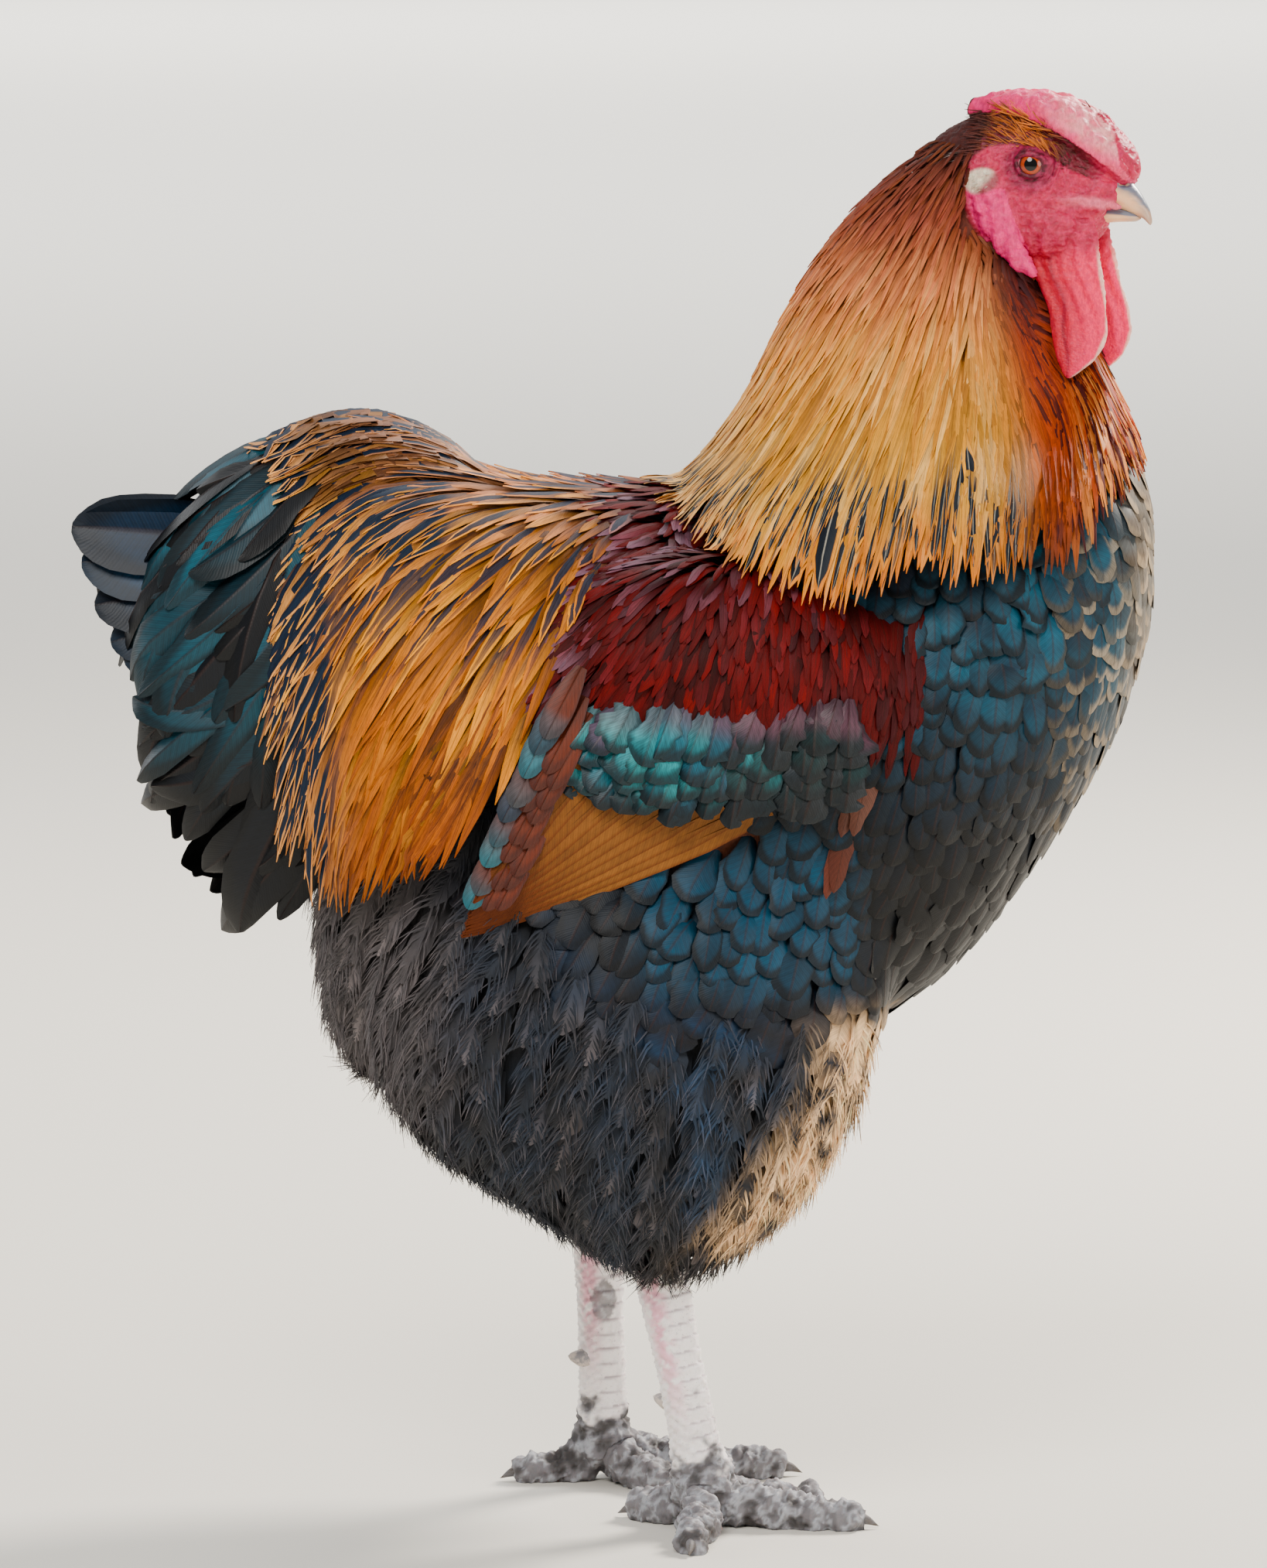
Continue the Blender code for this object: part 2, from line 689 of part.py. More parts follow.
def spur(side):
    top, low = Vector(HOCK[side]), Vector(FOOT[side])
    root = top.lerp(low, 0.62)
    rows = []
    for share, half in ((0.0, 0.0), (0.12, 0.0042), (0.65, 0.0032), (1.0, 0.0)):
        point = root + Vector((-0.0125 * share, -SIDES[side] * 0.007 * share, 0.002 * share * share))
        rows.append((*point, half, half))
    return limb(f"spur_{side}", rows, "claw", 6, 1, side=Z_AXIS)


def turned(body):
    """Turns a part of the head about the neck."""
    turn = Matrix.Rotation(HEAD_TURN, 4, "Z")
    body.data.transform(Matrix.Translation(HEAD_PIVOT) @ turn @ Matrix.Translation(-HEAD_PIVOT))
    return body


def skull():
    return lengthwise("head", SKULL, "flesh", 18, 1)


def face_bumps():
    """The rims of the eyelids, the cheeks and the ears."""
    bumps = []
    for sign in SIDES.values():
        for (x, y, z), radii in FACE:
            bumps.append(ball("bump", Vector((x, sign * y, z)), radii, "flesh", 8, 5))
    return bumps


def eye(side):
    centre = Vector((EYE.x, SIDES[side] * EYE.y, EYE.z))
    return ball(f"eye_{side}", centre, (EYE_RADIUS, EYE_RADIUS * 0.8, EYE_RADIUS), "eye", 12, 6)


def nostrils():
    centres = [Vector((NOSTRIL.x, sign * NOSTRIL.y, NOSTRIL.z)) for sign in SIDES.values()]
    return [ball("nostril", centre, (0.0024, 0.0016, 0.0011), "beak", 8, 5) for centre in centres]


def comb_band():
    rows = [(x, 0.0, z, half, across) for x, z, half, across in COMB]
    return limb("comb", rows, "flesh", 12, 1)


def comb_points():
    """Small blunt points all over the top of the comb."""
    seeded = random.Random(17)
    xs, heights, halves, acrosses = zip(*sorted(COMB))
    points = []
    count = 13
    for k in range(count):
        x = 0.136 + 0.048 * k / (count - 1)
        z, half, across = (np.interp(x, xs, values) for values in (heights, halves, acrosses))
        side = (0.72, -0.10, -0.75, 0.30, -0.42)[k % 5] * seeded.uniform(0.8, 1.1)
        lean = math.asin(max(-0.95, min(0.95, side)))
        made = bmesh.new()
        size = seeded.uniform(0.0028, 0.0036)
        tip = size * 0.4
        bmesh.ops.create_cone(made, cap_ends=True, segments=5, radius1=size, radius2=tip, depth=0.0046)
        place = Vector((x, across * side, z + half * math.cos(lean)))
        made.transform(Matrix.Translation(place) @ Matrix.Rotation(-lean * 0.7, 4, "X"))
        mesh = bpy.data.meshes.new("point")
        made.to_mesh(mesh)
        made.free()
        points.append(bpy.data.objects.new("point", mesh))
    return points


def beak_upper():
    return lengthwise("beak_upper", BEAK_UPPER, "beak", 12, 1)


def beak_lower():
    return lengthwise("beak_lower", BEAK_LOWER, "beak", 10, 1)


def leaf(name, outline, y_top, y_low, thick):
    """A hanging leaf of flesh, from rows of (z, back x, front x)."""
    rows = []
    last = len(outline) - 1
    for i, (z, back, front) in enumerate(outline):
        share = i / last
        half = 0.0 if i in (0, last) else thick / 2
        rows.append((z, back, front, half, y_top + (y_low - y_top) * share))
    return upright(name, rows, "flesh", 8, 1)


def wattle(side):
    sign = SIDES[side]
    return leaf(f"wattle_{side}", WATTLE, sign * 0.0090, sign * 0.0140, 0.0040)


def earlobe(side):
    sign = SIDES[side]
    return leaf(f"earlobe_{side}", LOBE, sign * 0.0180, sign * 0.0200, 0.0044)


def mirrored(rows, side):
    """Rows of (x, y, z, ...) for the left side, moved to the given side."""
    return [(x, SIDES[side] * y, *rest) for x, y, *rest in rows]


def wing_bow(side):
    """The rounded front of the folded wing."""
    x, y, z = BOW_CENTRE
    centre = Vector((x, SIDES[side] * y, z))
    return ball(f"wing_bow_{side}", centre, BOW_RADII, "wing", 16, 9, turn=math.radians(8))


def flight_core(side):
    return limb(f"wing_flights_{side}", mirrored(FLIGHT_CORE, side), "wing", 10, 1)


def wing_bar_core(side):
    return limb(f"wing_bar_{side}", mirrored(BAR_CORE, side), "tail", 8, 1)


def flight_room(side):
    return limb("room", mirrored(FLIGHT_ROOM, side), "wing", 10, 1)


def bar_room(side):
    return limb("room", mirrored(BAR_ROOM, side), "wing", 10, 1)


def coverts_room():
    return swell(lengthwise("room", COVERTS, "tail", 16, 1), 0.0040)


def coverts_pad(side):
    return ball(f"tail_coverts_{side}", Vector((-0.086, 0.0, 0.348)), (0.036, 0.036, 0.044), "tail", 12, 8)


def tail_core():
    return ball("tail_main", Vector((-0.116, 0.0, 0.335)), (0.026, 0.0205, 0.036), "tail", 14, 8)


def hackle_vanes():
    seeded = random.Random(11)
    rows = [(*row, 0.0) for row in CAPE]
    guide = surface(upright("guide", rows, "hackle", 48, 4))
    walls = [surface(torso()), surface(wing_bow("right")), surface(wing_bow("left"))]
    ring = np.array(CAPE[::-1])
    vanes = []
    for row, (z, count, length, half, steps) in enumerate(HACKLE_ROWS):
        back, front, side = (np.interp(z, ring[:, 0], ring[:, k]) for k in (1, 2, 3))
        for k in range(count):
            turn = 2 * math.pi * (k + 0.5 * (row % 2) + seeded.uniform(-0.1, 0.1)) / count
            ahead = math.cos(turn)
            start = Vector(((back + front) / 2 + (front - back) / 2 * ahead, side * math.sin(turn), z))
            reach = length * along(HACKLE_SHARE, ahead) * seeded.uniform(0.94, 1.05)
            points, outs = course(guide, start, HACKLE_ABOVE, reach, steps, walls)
            vanes.append(vane(points, outs, half, LANCET, 0.0))
    return vanes


def saddle_vanes(side):
    seeded = random.Random(23)
    guide = surface(lengthwise("guide", SADDLE, "saddle", 48, 4))
    walls = [surface(torso()), surface(thigh(side)), surface(wing_bow(side))]
    walls += [surface(flight_room(side)), surface(bar_room(side)), surface(coverts_room())]
    reach_at = np.array(SADDLE_REACH)
    vanes = []
    for turn, first, last, count, share in SADDLE_ROWS:
        for k in range(count):
            x = first + (last - first) * (k + seeded.uniform(-0.15, 0.15)) / (count - 1)
            start = on_form(SADDLE, x, math.radians(turn + seeded.uniform(-2, 2)), side)
            reach = np.interp(x, reach_at[:, 0], reach_at[:, 1]) * share * seeded.uniform(0.94, 1.05)
            points, outs = course(guide, start, SADDLE_ABOVE, reach, 4, walls)
            vanes.append(vane(points, outs, 0.0060, LANCET, TILT * SIDES[side] * 1.4))
    return vanes


def covert_vanes(side):
    seeded = random.Random(5)
    guide = surface(lengthwise("guide", COVERTS, "tail", 48, 4))
    vanes = []
    for first_x, first_turn, last_x, last_turn, count, first_length, last_length in COVERT_ROWS:
        for k in range(count):
            share = k / (count - 1)
            x = first_x + (last_x - first_x) * share
            turn = math.radians(first_turn + (last_turn - first_turn) * share)
            start = on_form(COVERTS, x, turn, side)
            length = (first_length + (last_length - first_length) * share) * seeded.uniform(0.94, 1.04)
            points, outs = course(guide, start, COVERTS_ABOVE, length, 5, [])
            vanes.append(vane(points, outs, 0.0090, ROUNDED, TILT * SIDES[side]))
    return vanes


def tail_vanes():
    """The main feathers, in an upside-down V, spread from the root of the tail."""
    seeded = random.Random(7)
    count = 6
    vanes = []
    for side, sign in SIDES.items():
        for k in range(count):
            share = k / (count - 1)
            rise = math.radians(13 - 39 * share + seeded.uniform(-1, 1))
            out = Vector((0, sign * 0.88, 0.47)).normalized()
            root = Vector((-0.112, sign * (0.0045 + 0.0022 * k), 0.342 - 0.014 * share))
            tip = root + Vector((-math.cos(rise), 0, math.sin(rise))) * (0.086 - 0.015 * share)
            vanes.append(vane(*straight(root, tip, out, 3), 0.0098, ROUNDED, 0.0))
    return vanes


def flight_vanes(side):
    seeded = random.Random(3)
    out = Vector((0, SIDES[side], 0))
    count = 6
    vanes = []
    for k in range(count):
        share = k / (count - 1)
        level = 0.0898 + 0.0013 * k
        root = Vector((0.046 - 0.050 * share, SIDES[side] * (level - 0.004), 0.264 + 0.014 * share))
        tip_x = -0.054 + 0.016 * share + seeded.uniform(-0.001, 0.001)
        tip = Vector((tip_x, SIDES[side] * level, 0.219 + 0.046 * share))
        points, outs = straight(root, tip, out, 3)
        for point in points[1:]:
            point.y = SIDES[side] * level
        vanes.append(vane(points, outs, 0.0062, ROUNDED, 0.0))
    return vanes


def bar_vanes(side):
    seeded = random.Random(9)
    out = Vector((0, SIDES[side], 0))
    count = 7
    row = np.array(BAR_CORE)
    vanes = []
    for k in range(count):
        share = k / (count - 1)
        x = 0.079 - 0.074 * share
        y, z = (np.interp(-x, -row[:, 0], row[:, j]) for j in (1, 2))
        root = Vector((x, SIDES[side] * (y + 0.001), z - 0.002))
        tip = root + Vector((-0.026, 0, -0.022)) * seeded.uniform(0.92, 1.05) + out * 0.0045
        vanes.append(vane(*straight(root, tip, out, 3), 0.0060, ROUNDED, TILT * SIDES[side] * 1.9))
    return vanes


def build_head(parts):
    head = cut(join(skull(), face_bumps()), eye("right"), eye("left"))
    upper = cut(beak_upper(), skull(), *nostrils())
    lower = cut(beak_lower(), skull(), beak_upper())
    crest = cut(join(comb_band(), comb_points()), skull(), beak_upper())
    made = [head, upper, lower, crest, eye("right"), eye("left")]
    for side in SIDES:
        made.append(cut(wattle(side), skull(), *face_bumps(), beak_lower()))
        made.append(cut(earlobe(side), skull(), *face_bumps()))
    for part in made:
        parts.append(turned(part))


def build_legs(parts):
    for side in SIDES:
        parts.append(cut(thigh(side), torso()))
        parts.append(cut(shank(side), thigh(side)))
        parts.append(cut(spur(side), shank(side)))
        for i, (name, heading, length) in enumerate(TOES[side]):
            earlier = [toe(side, *TOES[side][k]) for k in range(i)]
            parts.append(cut(toe(side, name, heading, length), shank(side), *earlier))
            parts.append(cut(claw(side, name, heading, length), toe(side, name, heading, length)))


def build_neck(parts):
    fleshy = [wattle(side) for side in SIDES] + [earlobe(side) for side in SIDES]
    cutters = [turned(body) for body in [skull(), *face_bumps(), *fleshy]]
    feathered = join(neck(), hackle_vanes())
    parts.append(cut(feathered, torso(), *cutters, wing_bow("right"), wing_bow("left")))


def build_wings(parts):
    for side in SIDES:
        bar = join(wing_bar_core(side), bar_vanes(side))
        parts.append(cut(bar, torso(), flight_room(side)))
        parts.append(cut(wing_bow(side), torso(), flight_room(side), wing_bar_core(side)))
        flights = join(flight_core(side), flight_vanes(side))
        parts.append(cut(flights, torso(), thigh(side)))


def build_rear(parts):
    parts.append(cut(rump(), torso()))
    parts.append(cut(join(tail_core(), tail_vanes()), rump()))
    for side in SIDES:
        coverts = join(coverts_pad(side), covert_vanes(side))
        parts.append(cut(coverts, torso(), rump(), tail_core(), block(*TAIL_ROOM), beyond_middle(side)))
        core = lengthwise(f"saddle_{side}", SADDLE_CORE, "saddle", 16, 1)
        core = cut(core, coverts_room())
        saddle = join(core, saddle_vanes(side))
        rooms = [wing_bow(side), flight_room(side), bar_room(side)]
        near = [torso(), rump(), coverts_pad(side), thigh(side), *rooms]
        parts.append(cut(saddle, *near, beyond_middle(side)))


def main():
    rooster = empty_scene()
    parts = [torso()]
    build_neck(parts)
    build_wings(parts)
    build_rear(parts)
    build_legs(parts)
    build_head(parts)
    for part in parts:
        rooster.objects.link(part)


main()
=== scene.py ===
"""The looks of a life-size wyandotte rooster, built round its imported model.

The bird faces +X, its left is +Y and +Z is up, in metres. One skin takes the place of the flesh, and each
feather is a thin closed mesh laid over smooth guide forms, with its root in the skin.
"""

import math

import bmesh
import bpy
import numpy as np
from mathutils import Matrix, Vector, kdtree, noise
from mathutils.bvhtree import BVHTree


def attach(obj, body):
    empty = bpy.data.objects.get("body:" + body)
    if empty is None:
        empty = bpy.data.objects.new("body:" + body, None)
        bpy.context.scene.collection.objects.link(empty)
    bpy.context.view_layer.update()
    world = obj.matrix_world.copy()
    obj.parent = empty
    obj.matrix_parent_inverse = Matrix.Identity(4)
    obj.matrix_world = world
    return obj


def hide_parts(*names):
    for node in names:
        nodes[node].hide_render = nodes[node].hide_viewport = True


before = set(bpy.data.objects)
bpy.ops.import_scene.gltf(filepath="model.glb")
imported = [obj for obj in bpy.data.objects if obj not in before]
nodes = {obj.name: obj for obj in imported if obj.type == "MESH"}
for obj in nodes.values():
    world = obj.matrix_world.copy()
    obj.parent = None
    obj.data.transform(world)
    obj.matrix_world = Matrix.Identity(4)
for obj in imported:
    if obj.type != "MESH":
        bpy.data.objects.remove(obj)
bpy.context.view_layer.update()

SIDES = {"right": -1, "left": 1}
X_AXIS, Y_AXIS, Z_AXIS = np.eye(3)

# Guide forms, as rows of (z, back x, front x, half width) or of (x, top z, bottom z, half width).
CAPE = (
    (0.502, 0.126, 0.136, 0.000),
    (0.497, 0.117, 0.143, 0.011),
    (0.490, 0.109, 0.147, 0.017),
    (0.474, 0.091, 0.151, 0.026),
    (0.455, 0.076, 0.158, 0.034),
    (0.431, 0.062, 0.169, 0.047),
    (0.406, 0.050, 0.181, 0.063),
    (0.385, 0.036, 0.190, 0.078),
    (0.366, 0.018, 0.194, 0.089),
    (0.345, 0.008, 0.195, 0.096),
    (0.310, 0.000, 0.196, 0.101),
    (0.300, 0.080, 0.120, 0.000),
)
NECK = (
    (0.494, 0.130, 0.140, 0.000),
    (0.490, 0.111, 0.145, 0.014),
    (0.474, 0.0915, 0.148, 0.023),
    (0.455, 0.0775, 0.154, 0.031),
    (0.431, 0.0655, 0.165, 0.043),
    (0.406, 0.055, 0.176, 0.058),
    (0.392, 0.054, 0.178, 0.061),
    (0.350, 0.066, 0.160, 0.050),
    (0.330, 0.090, 0.120, 0.000),
)
SADDLE = (
    (0.0340, 0.345, 0.255, 0.000),
    (0.0240, 0.374, 0.200, 0.086),
    (0.0000, 0.373, 0.185, 0.093),
    (-0.0300, 0.374, 0.180, 0.095),
    (-0.0600, 0.380, 0.180, 0.092),
    (-0.0850, 0.383, 0.186, 0.082),
    (-0.1050, 0.374, 0.200, 0.066),
    (-0.1220, 0.350, 0.222, 0.046),
    (-0.1300, 0.300, 0.265, 0.000),
)
SADDLE_CORE = (
    (0.0180, 0.350, 0.320, 0.000),
    (0.0140, 0.367, 0.285, 0.066),
    (-0.0100, 0.369, 0.276, 0.075),
    (-0.0450, 0.371, 0.272, 0.075),
    (-0.0750, 0.376, 0.276, 0.065),
    (-0.0920, 0.368, 0.290, 0.050),
    (-0.0980, 0.335, 0.325, 0.000),
)
COVERTS = (
    (-0.0360, 0.330, 0.300, 0.000),
    (-0.0440, 0.368, 0.262, 0.030),
    (-0.0620, 0.389, 0.226, 0.040),
    (-0.0900, 0.3985, 0.198, 0.045),
    (-0.1200, 0.391, 0.198, 0.044),
    (-0.1480, 0.372, 0.222, 0.039),
    (-0.1660, 0.347, 0.250, 0.030),
    (-0.1740, 0.310, 0.295, 0.000),
)
# The head is modelled facing +X and then turned towards the bird's right about the neck.
HEAD_TURN = math.radians(-15)
HEAD_PIVOT = np.array((0.128, 0.0, 0.470))
SKULL = (
    (0.1120, 0.486, 0.478, 0.000),
    (0.1150, 0.495, 0.466, 0.011),
    (0.1260, 0.503, 0.453, 0.0165),
    (0.1380, 0.5065, 0.447, 0.0190),
    (0.1500, 0.5055, 0.447, 0.0190),
    (0.1610, 0.501, 0.452, 0.0165),
    (0.1710, 0.494, 0.459, 0.0125),
    (0.1780, 0.488, 0.465, 0.0085),
    (0.1810, 0.480, 0.474, 0.000),
)
EYE = np.array((0.1545, 0.0163, 0.4886))
EYE_RADIUS = 0.0052
# Half width of the open eye, its half heights above and below the middle, and its tilt.
LID_HALF = (0.0044, 0.0026, 0.0035)
LID_TILT = math.radians(-12)
# The nostril, as (x, z, half width, half height).
NOSTRIL = np.array((0.1865, 0.4815, 0.0024, 0.0010))
BEAK_UPPER = (
    (0.1660, 0.482, 0.478, 0.000),
    (0.1672, 0.4880, 0.4745, 0.0086),
    (0.1775, 0.4878, 0.4735, 0.0080),
    (0.1840, 0.4850, 0.4722, 0.0064),
    (0.1885, 0.4814, 0.4706, 0.0046),
    (0.1920, 0.4766, 0.4690, 0.0028),
    (0.1945, 0.4718, 0.4668, 0.0013),
    (0.1952, 0.4690, 0.4676, 0.000),
)
BEAK_LOWER = (
    (0.1650, 0.4715, 0.4700, 0.000),
    (0.1660, 0.4740, 0.4676, 0.0076),
    (0.1775, 0.4738, 0.4674, 0.0064),
    (0.1840, 0.4728, 0.4678, 0.0046),
    (0.1890, 0.4712, 0.4680, 0.0024),
    (0.1912, 0.4698, 0.4690, 0.000),
)
# The comb is a thick band along this line, as (x, z, half height, half width).
COMB = (
    (0.1890, 0.4815, 0.0000, 0.0000),
    (0.1872, 0.4838, 0.0040, 0.0060),
    (0.1822, 0.4900, 0.0074, 0.0105),
    (0.1728, 0.4977, 0.0084, 0.0132),
    (0.1630, 0.5038, 0.0082, 0.0138),
    (0.1535, 0.5074, 0.0066, 0.0115),
    (0.1440, 0.5090, 0.0048, 0.0080),
    (0.1355, 0.5084, 0.0038, 0.0052),
    (0.1300, 0.5072, 0.0026, 0.0034),
    (0.1270, 0.5064, 0.0000, 0.0000),
)
# Hanging leaves of flesh, as (z, back x, front x).
WATTLE = (
    (0.4720, 0.1610, 0.1690),
    (0.4680, 0.1560, 0.1763),
    (0.4580, 0.1545, 0.1785),
    (0.4470, 0.1555, 0.1800),
    (0.4375, 0.1590, 0.1818),
    (0.4290, 0.1605, 0.1822),
    (0.4200, 0.1630, 0.1785),
    (0.4155, 0.1650, 0.1735),
    (0.4120, 0.1668, 0.1688),
)
LOBE = (
    (0.4840, 0.1350, 0.1400),
    (0.4800, 0.1335, 0.1450),
    (0.4740, 0.1340, 0.1468),
    (0.4680, 0.1362, 0.1490),
    (0.4620, 0.1398, 0.1515),
    (0.4560, 0.1445, 0.1545),
    (0.4515, 0.1500, 0.1572),
    (0.4485, 0.1560, 0.1590),
)

# The legs.
HOCK = {"right": (0.0170, -0.040, 0.094), "left": (-0.0055, 0.038, 0.100)}
FOOT = {"right": (0.0335, -0.043, 0.013), "left": (-0.0030, 0.041, 0.013)}
SHANK_HALF = ((0, 0.0098), (0.22, 0.0092), (0.45, 0.0082), (0.75, 0.0086), (0.92, 0.0100), (1, 0.0080))
SHANK_ACROSS = ((0, 0.0086), (0.22, 0.0080), (0.45, 0.0071), (0.75, 0.0075), (0.92, 0.0086), (1, 0.0070))
PLATES = 16
PLATE_SPLIT = 0.15
TOE = (
    (0.00, 0.0110, 0.0000, 0.0000),
    (0.06, 0.0100, 0.0062, 0.0052),
    (0.30, 0.0070, 0.0062, 0.0050),
    (0.55, 0.0048, 0.0058, 0.0054),
    (0.75, 0.0040, 0.0050, 0.0045),
    (0.94, 0.0036, 0.0046, 0.0043),
    (1.00, 0.0034, 0.0000, 0.0000),
)
TOES = {
    "right": (("middle", -6, 0.049), ("inner", 38, 0.044), ("outer", -96, 0.045), ("hind", 152, 0.022)),
    "left": (("middle", 6, 0.060), ("inner", -46, 0.044), ("outer", 50, 0.046), ("hind", 184, 0.025)),
}
# A patch of mud on the far shank, as (x, z, half width, half height).
MUD_SPOT = np.array((-0.0035, 0.0690, 0.0042, 0.0066))
# How far mud reaches over the base of each claw.
MUD_CAP = 0.0055
# Where a toe starts from the foot's middle, how far a claw reaches past it and back into it, and how much
# narrower a claw is than it is high.
TOE_START = 0.002
CLAW_LENGTH = 0.012
CLAW_ROOT = 0.004
CLAW_WIDTH = 0.85
# How far the tip of the farther wattle swings forward.
FAR_SWING = 0.0050

# Claws, as (share of the length, height of the middle, half height).
CLAW = ((0.00, 0.0036, 0.0000), (0.10, 0.0039, 0.0027), (0.60, 0.0036, 0.0021), (1.00, 0.0010, 0.0000))
# The lids, the cheek and the ear of one side, as (centre, radii).
FACE = (
    ((0.1545, 0.0153, 0.4886), (0.0078, 0.0040, 0.0072)),
    ((0.1580, 0.0125, 0.4660), (0.0120, 0.0060, 0.0100)),
    ((0.1385, 0.0160, 0.4835), (0.0048, 0.0036, 0.0042)),
)
# Where the bare face starts and where the small feathers over the eye start, in the head's own frame.
FACE_EDGE = (
    (0.4360, 0.1580),
    (0.4485, 0.1550),
    (0.4515, 0.1490),
    (0.4560, 0.1435),
    (0.4620, 0.1388),
    (0.4680, 0.1352),
    (0.4740, 0.1330),
    (0.4840, 0.1330),
    (0.4900, 0.1350),
    (0.5000, 0.1400),
)
CROWN_EDGE = (
    (0.1180, 0.4800),
    (0.1280, 0.4880),
    (0.1387, 0.4945),
    (0.1455, 0.4955),
    (0.1573, 0.4945),
    (0.1628, 0.4900),
    (0.1683, 0.4862),
    (0.1760, 0.4830),
)
# Flesh over the base of the beak, as (centre, radii).
CERE = (
    ((0.1765, 0.0035, 0.4790), (0.0075, 0.0072, 0.0080)),
    ((0.1700, 0.0090, 0.4745), (0.0110, 0.0050, 0.0060)),
)
EAR = np.array((0.1368, 0.4826))
# The pink fold at the corner of the beak, as (x, y, z, half height, half thickness).
LIPS = (
    (0.1600, 0.0150, 0.4750, 0.0000, 0.0000),
    (0.1640, 0.0148, 0.4756, 0.0015, 0.0015),
    (0.1720, 0.0122, 0.4758, 0.0019, 0.0017),
    (0.1790, 0.0090, 0.4748, 0.0016, 0.0014),
    (0.1840, 0.0068, 0.4735, 0.0008, 0.0008),
    (0.1855, 0.0060, 0.4730, 0.0000, 0.0000),
)

# The flesh at the root of the tail, as (centre, radii).
TAIL_PADS = (
    ((-0.086, 0, 0.348), (0.034, 0.034, 0.042)),
    ((-0.116, 0, 0.335), (0.026, 0.018, 0.034)),
)
# The folded wing on the left side, as (x, y, z, half height, half thickness).
FLIGHT_CORE = (
    (0.0620, 0.084, 0.276, 0.000, 0.000),
    (0.0560, 0.085, 0.274, 0.012, 0.0050),
    (0.0300, 0.087, 0.269, 0.018, 0.0060),
    (0.0050, 0.087, 0.265, 0.020, 0.0060),
    (-0.0120, 0.086, 0.260, 0.016, 0.0050),
    (-0.0200, 0.085, 0.256, 0.000, 0.000),
)
FLIGHT_ROOM = (
    (0.0660, 0.084, 0.274, 0.000, 0.000),
    (0.0580, 0.087, 0.272, 0.018, 0.0100),
    (0.0300, 0.089, 0.270, 0.026, 0.0110),
    (-0.0050, 0.089, 0.270, 0.034, 0.0110),
    (-0.0330, 0.087, 0.260, 0.040, 0.0110),
    (-0.0540, 0.086, 0.238, 0.022, 0.0100),
    (-0.0620, 0.085, 0.222, 0.000, 0.000),
)
BAR_ROOM = (
    (0.0940, 0.085, 0.280, 0.000, 0.000),
    (0.0860, 0.090, 0.279, 0.020, 0.0120),
    (0.0400, 0.096, 0.280, 0.024, 0.0120),
    (0.0000, 0.097, 0.282, 0.025, 0.0120),
    (-0.0180, 0.096, 0.276, 0.020, 0.0110),
    (-0.0260, 0.095, 0.270, 0.000, 0.000),
)
BOW_CENTRE = (0.045, 0.0635, 0.306)
BOW_RADII = (0.075, 0.037, 0.047)
BOW_TURN = math.radians(8)
BOW_FRONT = 0.110
BOW_FLOOR = ((-0.03, 0.312), (0.00, 0.310), (0.07, 0.305), (0.11, 0.299))  # (x, lowest root)
SADDLE_EDGE = ((0.259, -0.040), (0.307, -0.023), (0.321, -0.019), (0.349, -0.006), (0.375, 0.011))  # (z, x)
TERTIAL_EDGE = ((0.225, -0.0500), (0.262, -0.0360), (0.300, -0.0180))  # (z, x)

# How long and wide feathers are, and where each group ends.
HACKLE_LENGTH = (
    (0.390, 0.100), (0.404, 0.104), (0.426, 0.088), (0.450, 0.066), (0.473, 0.046), (0.497, 0.026),
)
HACKLE_HALF = ((0.390, 0.0025), (0.430, 0.0017), (0.470, 0.0011), (0.497, 0.0008))
HACKLE_SHARES = (0, 0.15, 0.32, 0.50, 0.66, 0.80, 0.92, 1)
# How far down the hackle's feathers reach, from the back of the neck (-1) to its front (1).
HACKLE_REACH = ((-1.0, 0.49), (-0.6, 0.70), (-0.3, 0.82), (0.0, 0.82), (0.3, 0.74), (0.6, 0.62), (1.0, 0.50))
# The lines where the hackle and the saddle end at the bird's sides, as (x, z).
HACKLE_FRINGE = (
    (0.000, 0.378),
    (0.017, 0.370),
    (0.045, 0.349),
    (0.070, 0.340),
    (0.085, 0.333),
    (0.100, 0.350),
    (0.119, 0.347),
    (0.150, 0.350),
    (0.166, 0.352),
    (0.176, 0.366),
    (0.192, 0.384),
)
# Broad marked feathers at the hackle's edge, as (x of the root, height of the tip over the fringe, half
# width).
DISPLAY_FEATHERS = (
    (0.060, 0.016, 0.0036), (0.072, 0.014, 0.0034), (0.084, 0.000, 0.0048), (0.092, 0.001, 0.0046),
    (0.098, 0.010, 0.0036), (0.052, 0.018, 0.0032), (0.104, 0.022, 0.0030), (0.078, 0.012, 0.0038),
)
# How many more such feathers grow above them on each side.
MORE_DISPLAY = 34
SADDLE_FRINGE = (
    (-0.136, 0.356),
    (-0.130, 0.309),
    (-0.126, 0.271),
    (-0.115, 0.225),
    (-0.102, 0.219),
    (-0.074, 0.239),
    (-0.051, 0.250),
    (-0.040, 0.271),
    (-0.029, 0.299),
    (-0.018, 0.321),
    (0.000, 0.344),
    (0.030, 0.366),
)
SADDLE_SHARES = (0, 0.13, 0.28, 0.44, 0.60, 0.75, 0.88, 0.96, 1)
SADDLE_REACH = (
    (-0.0980, 0.064),
    (-0.0850, 0.100),
    (-0.0700, 0.126),
    (-0.0500, 0.134),
    (-0.0320, 0.130),
    (-0.0120, 0.096),
    (0.0080, 0.052),
    (0.0200, 0.040),
)
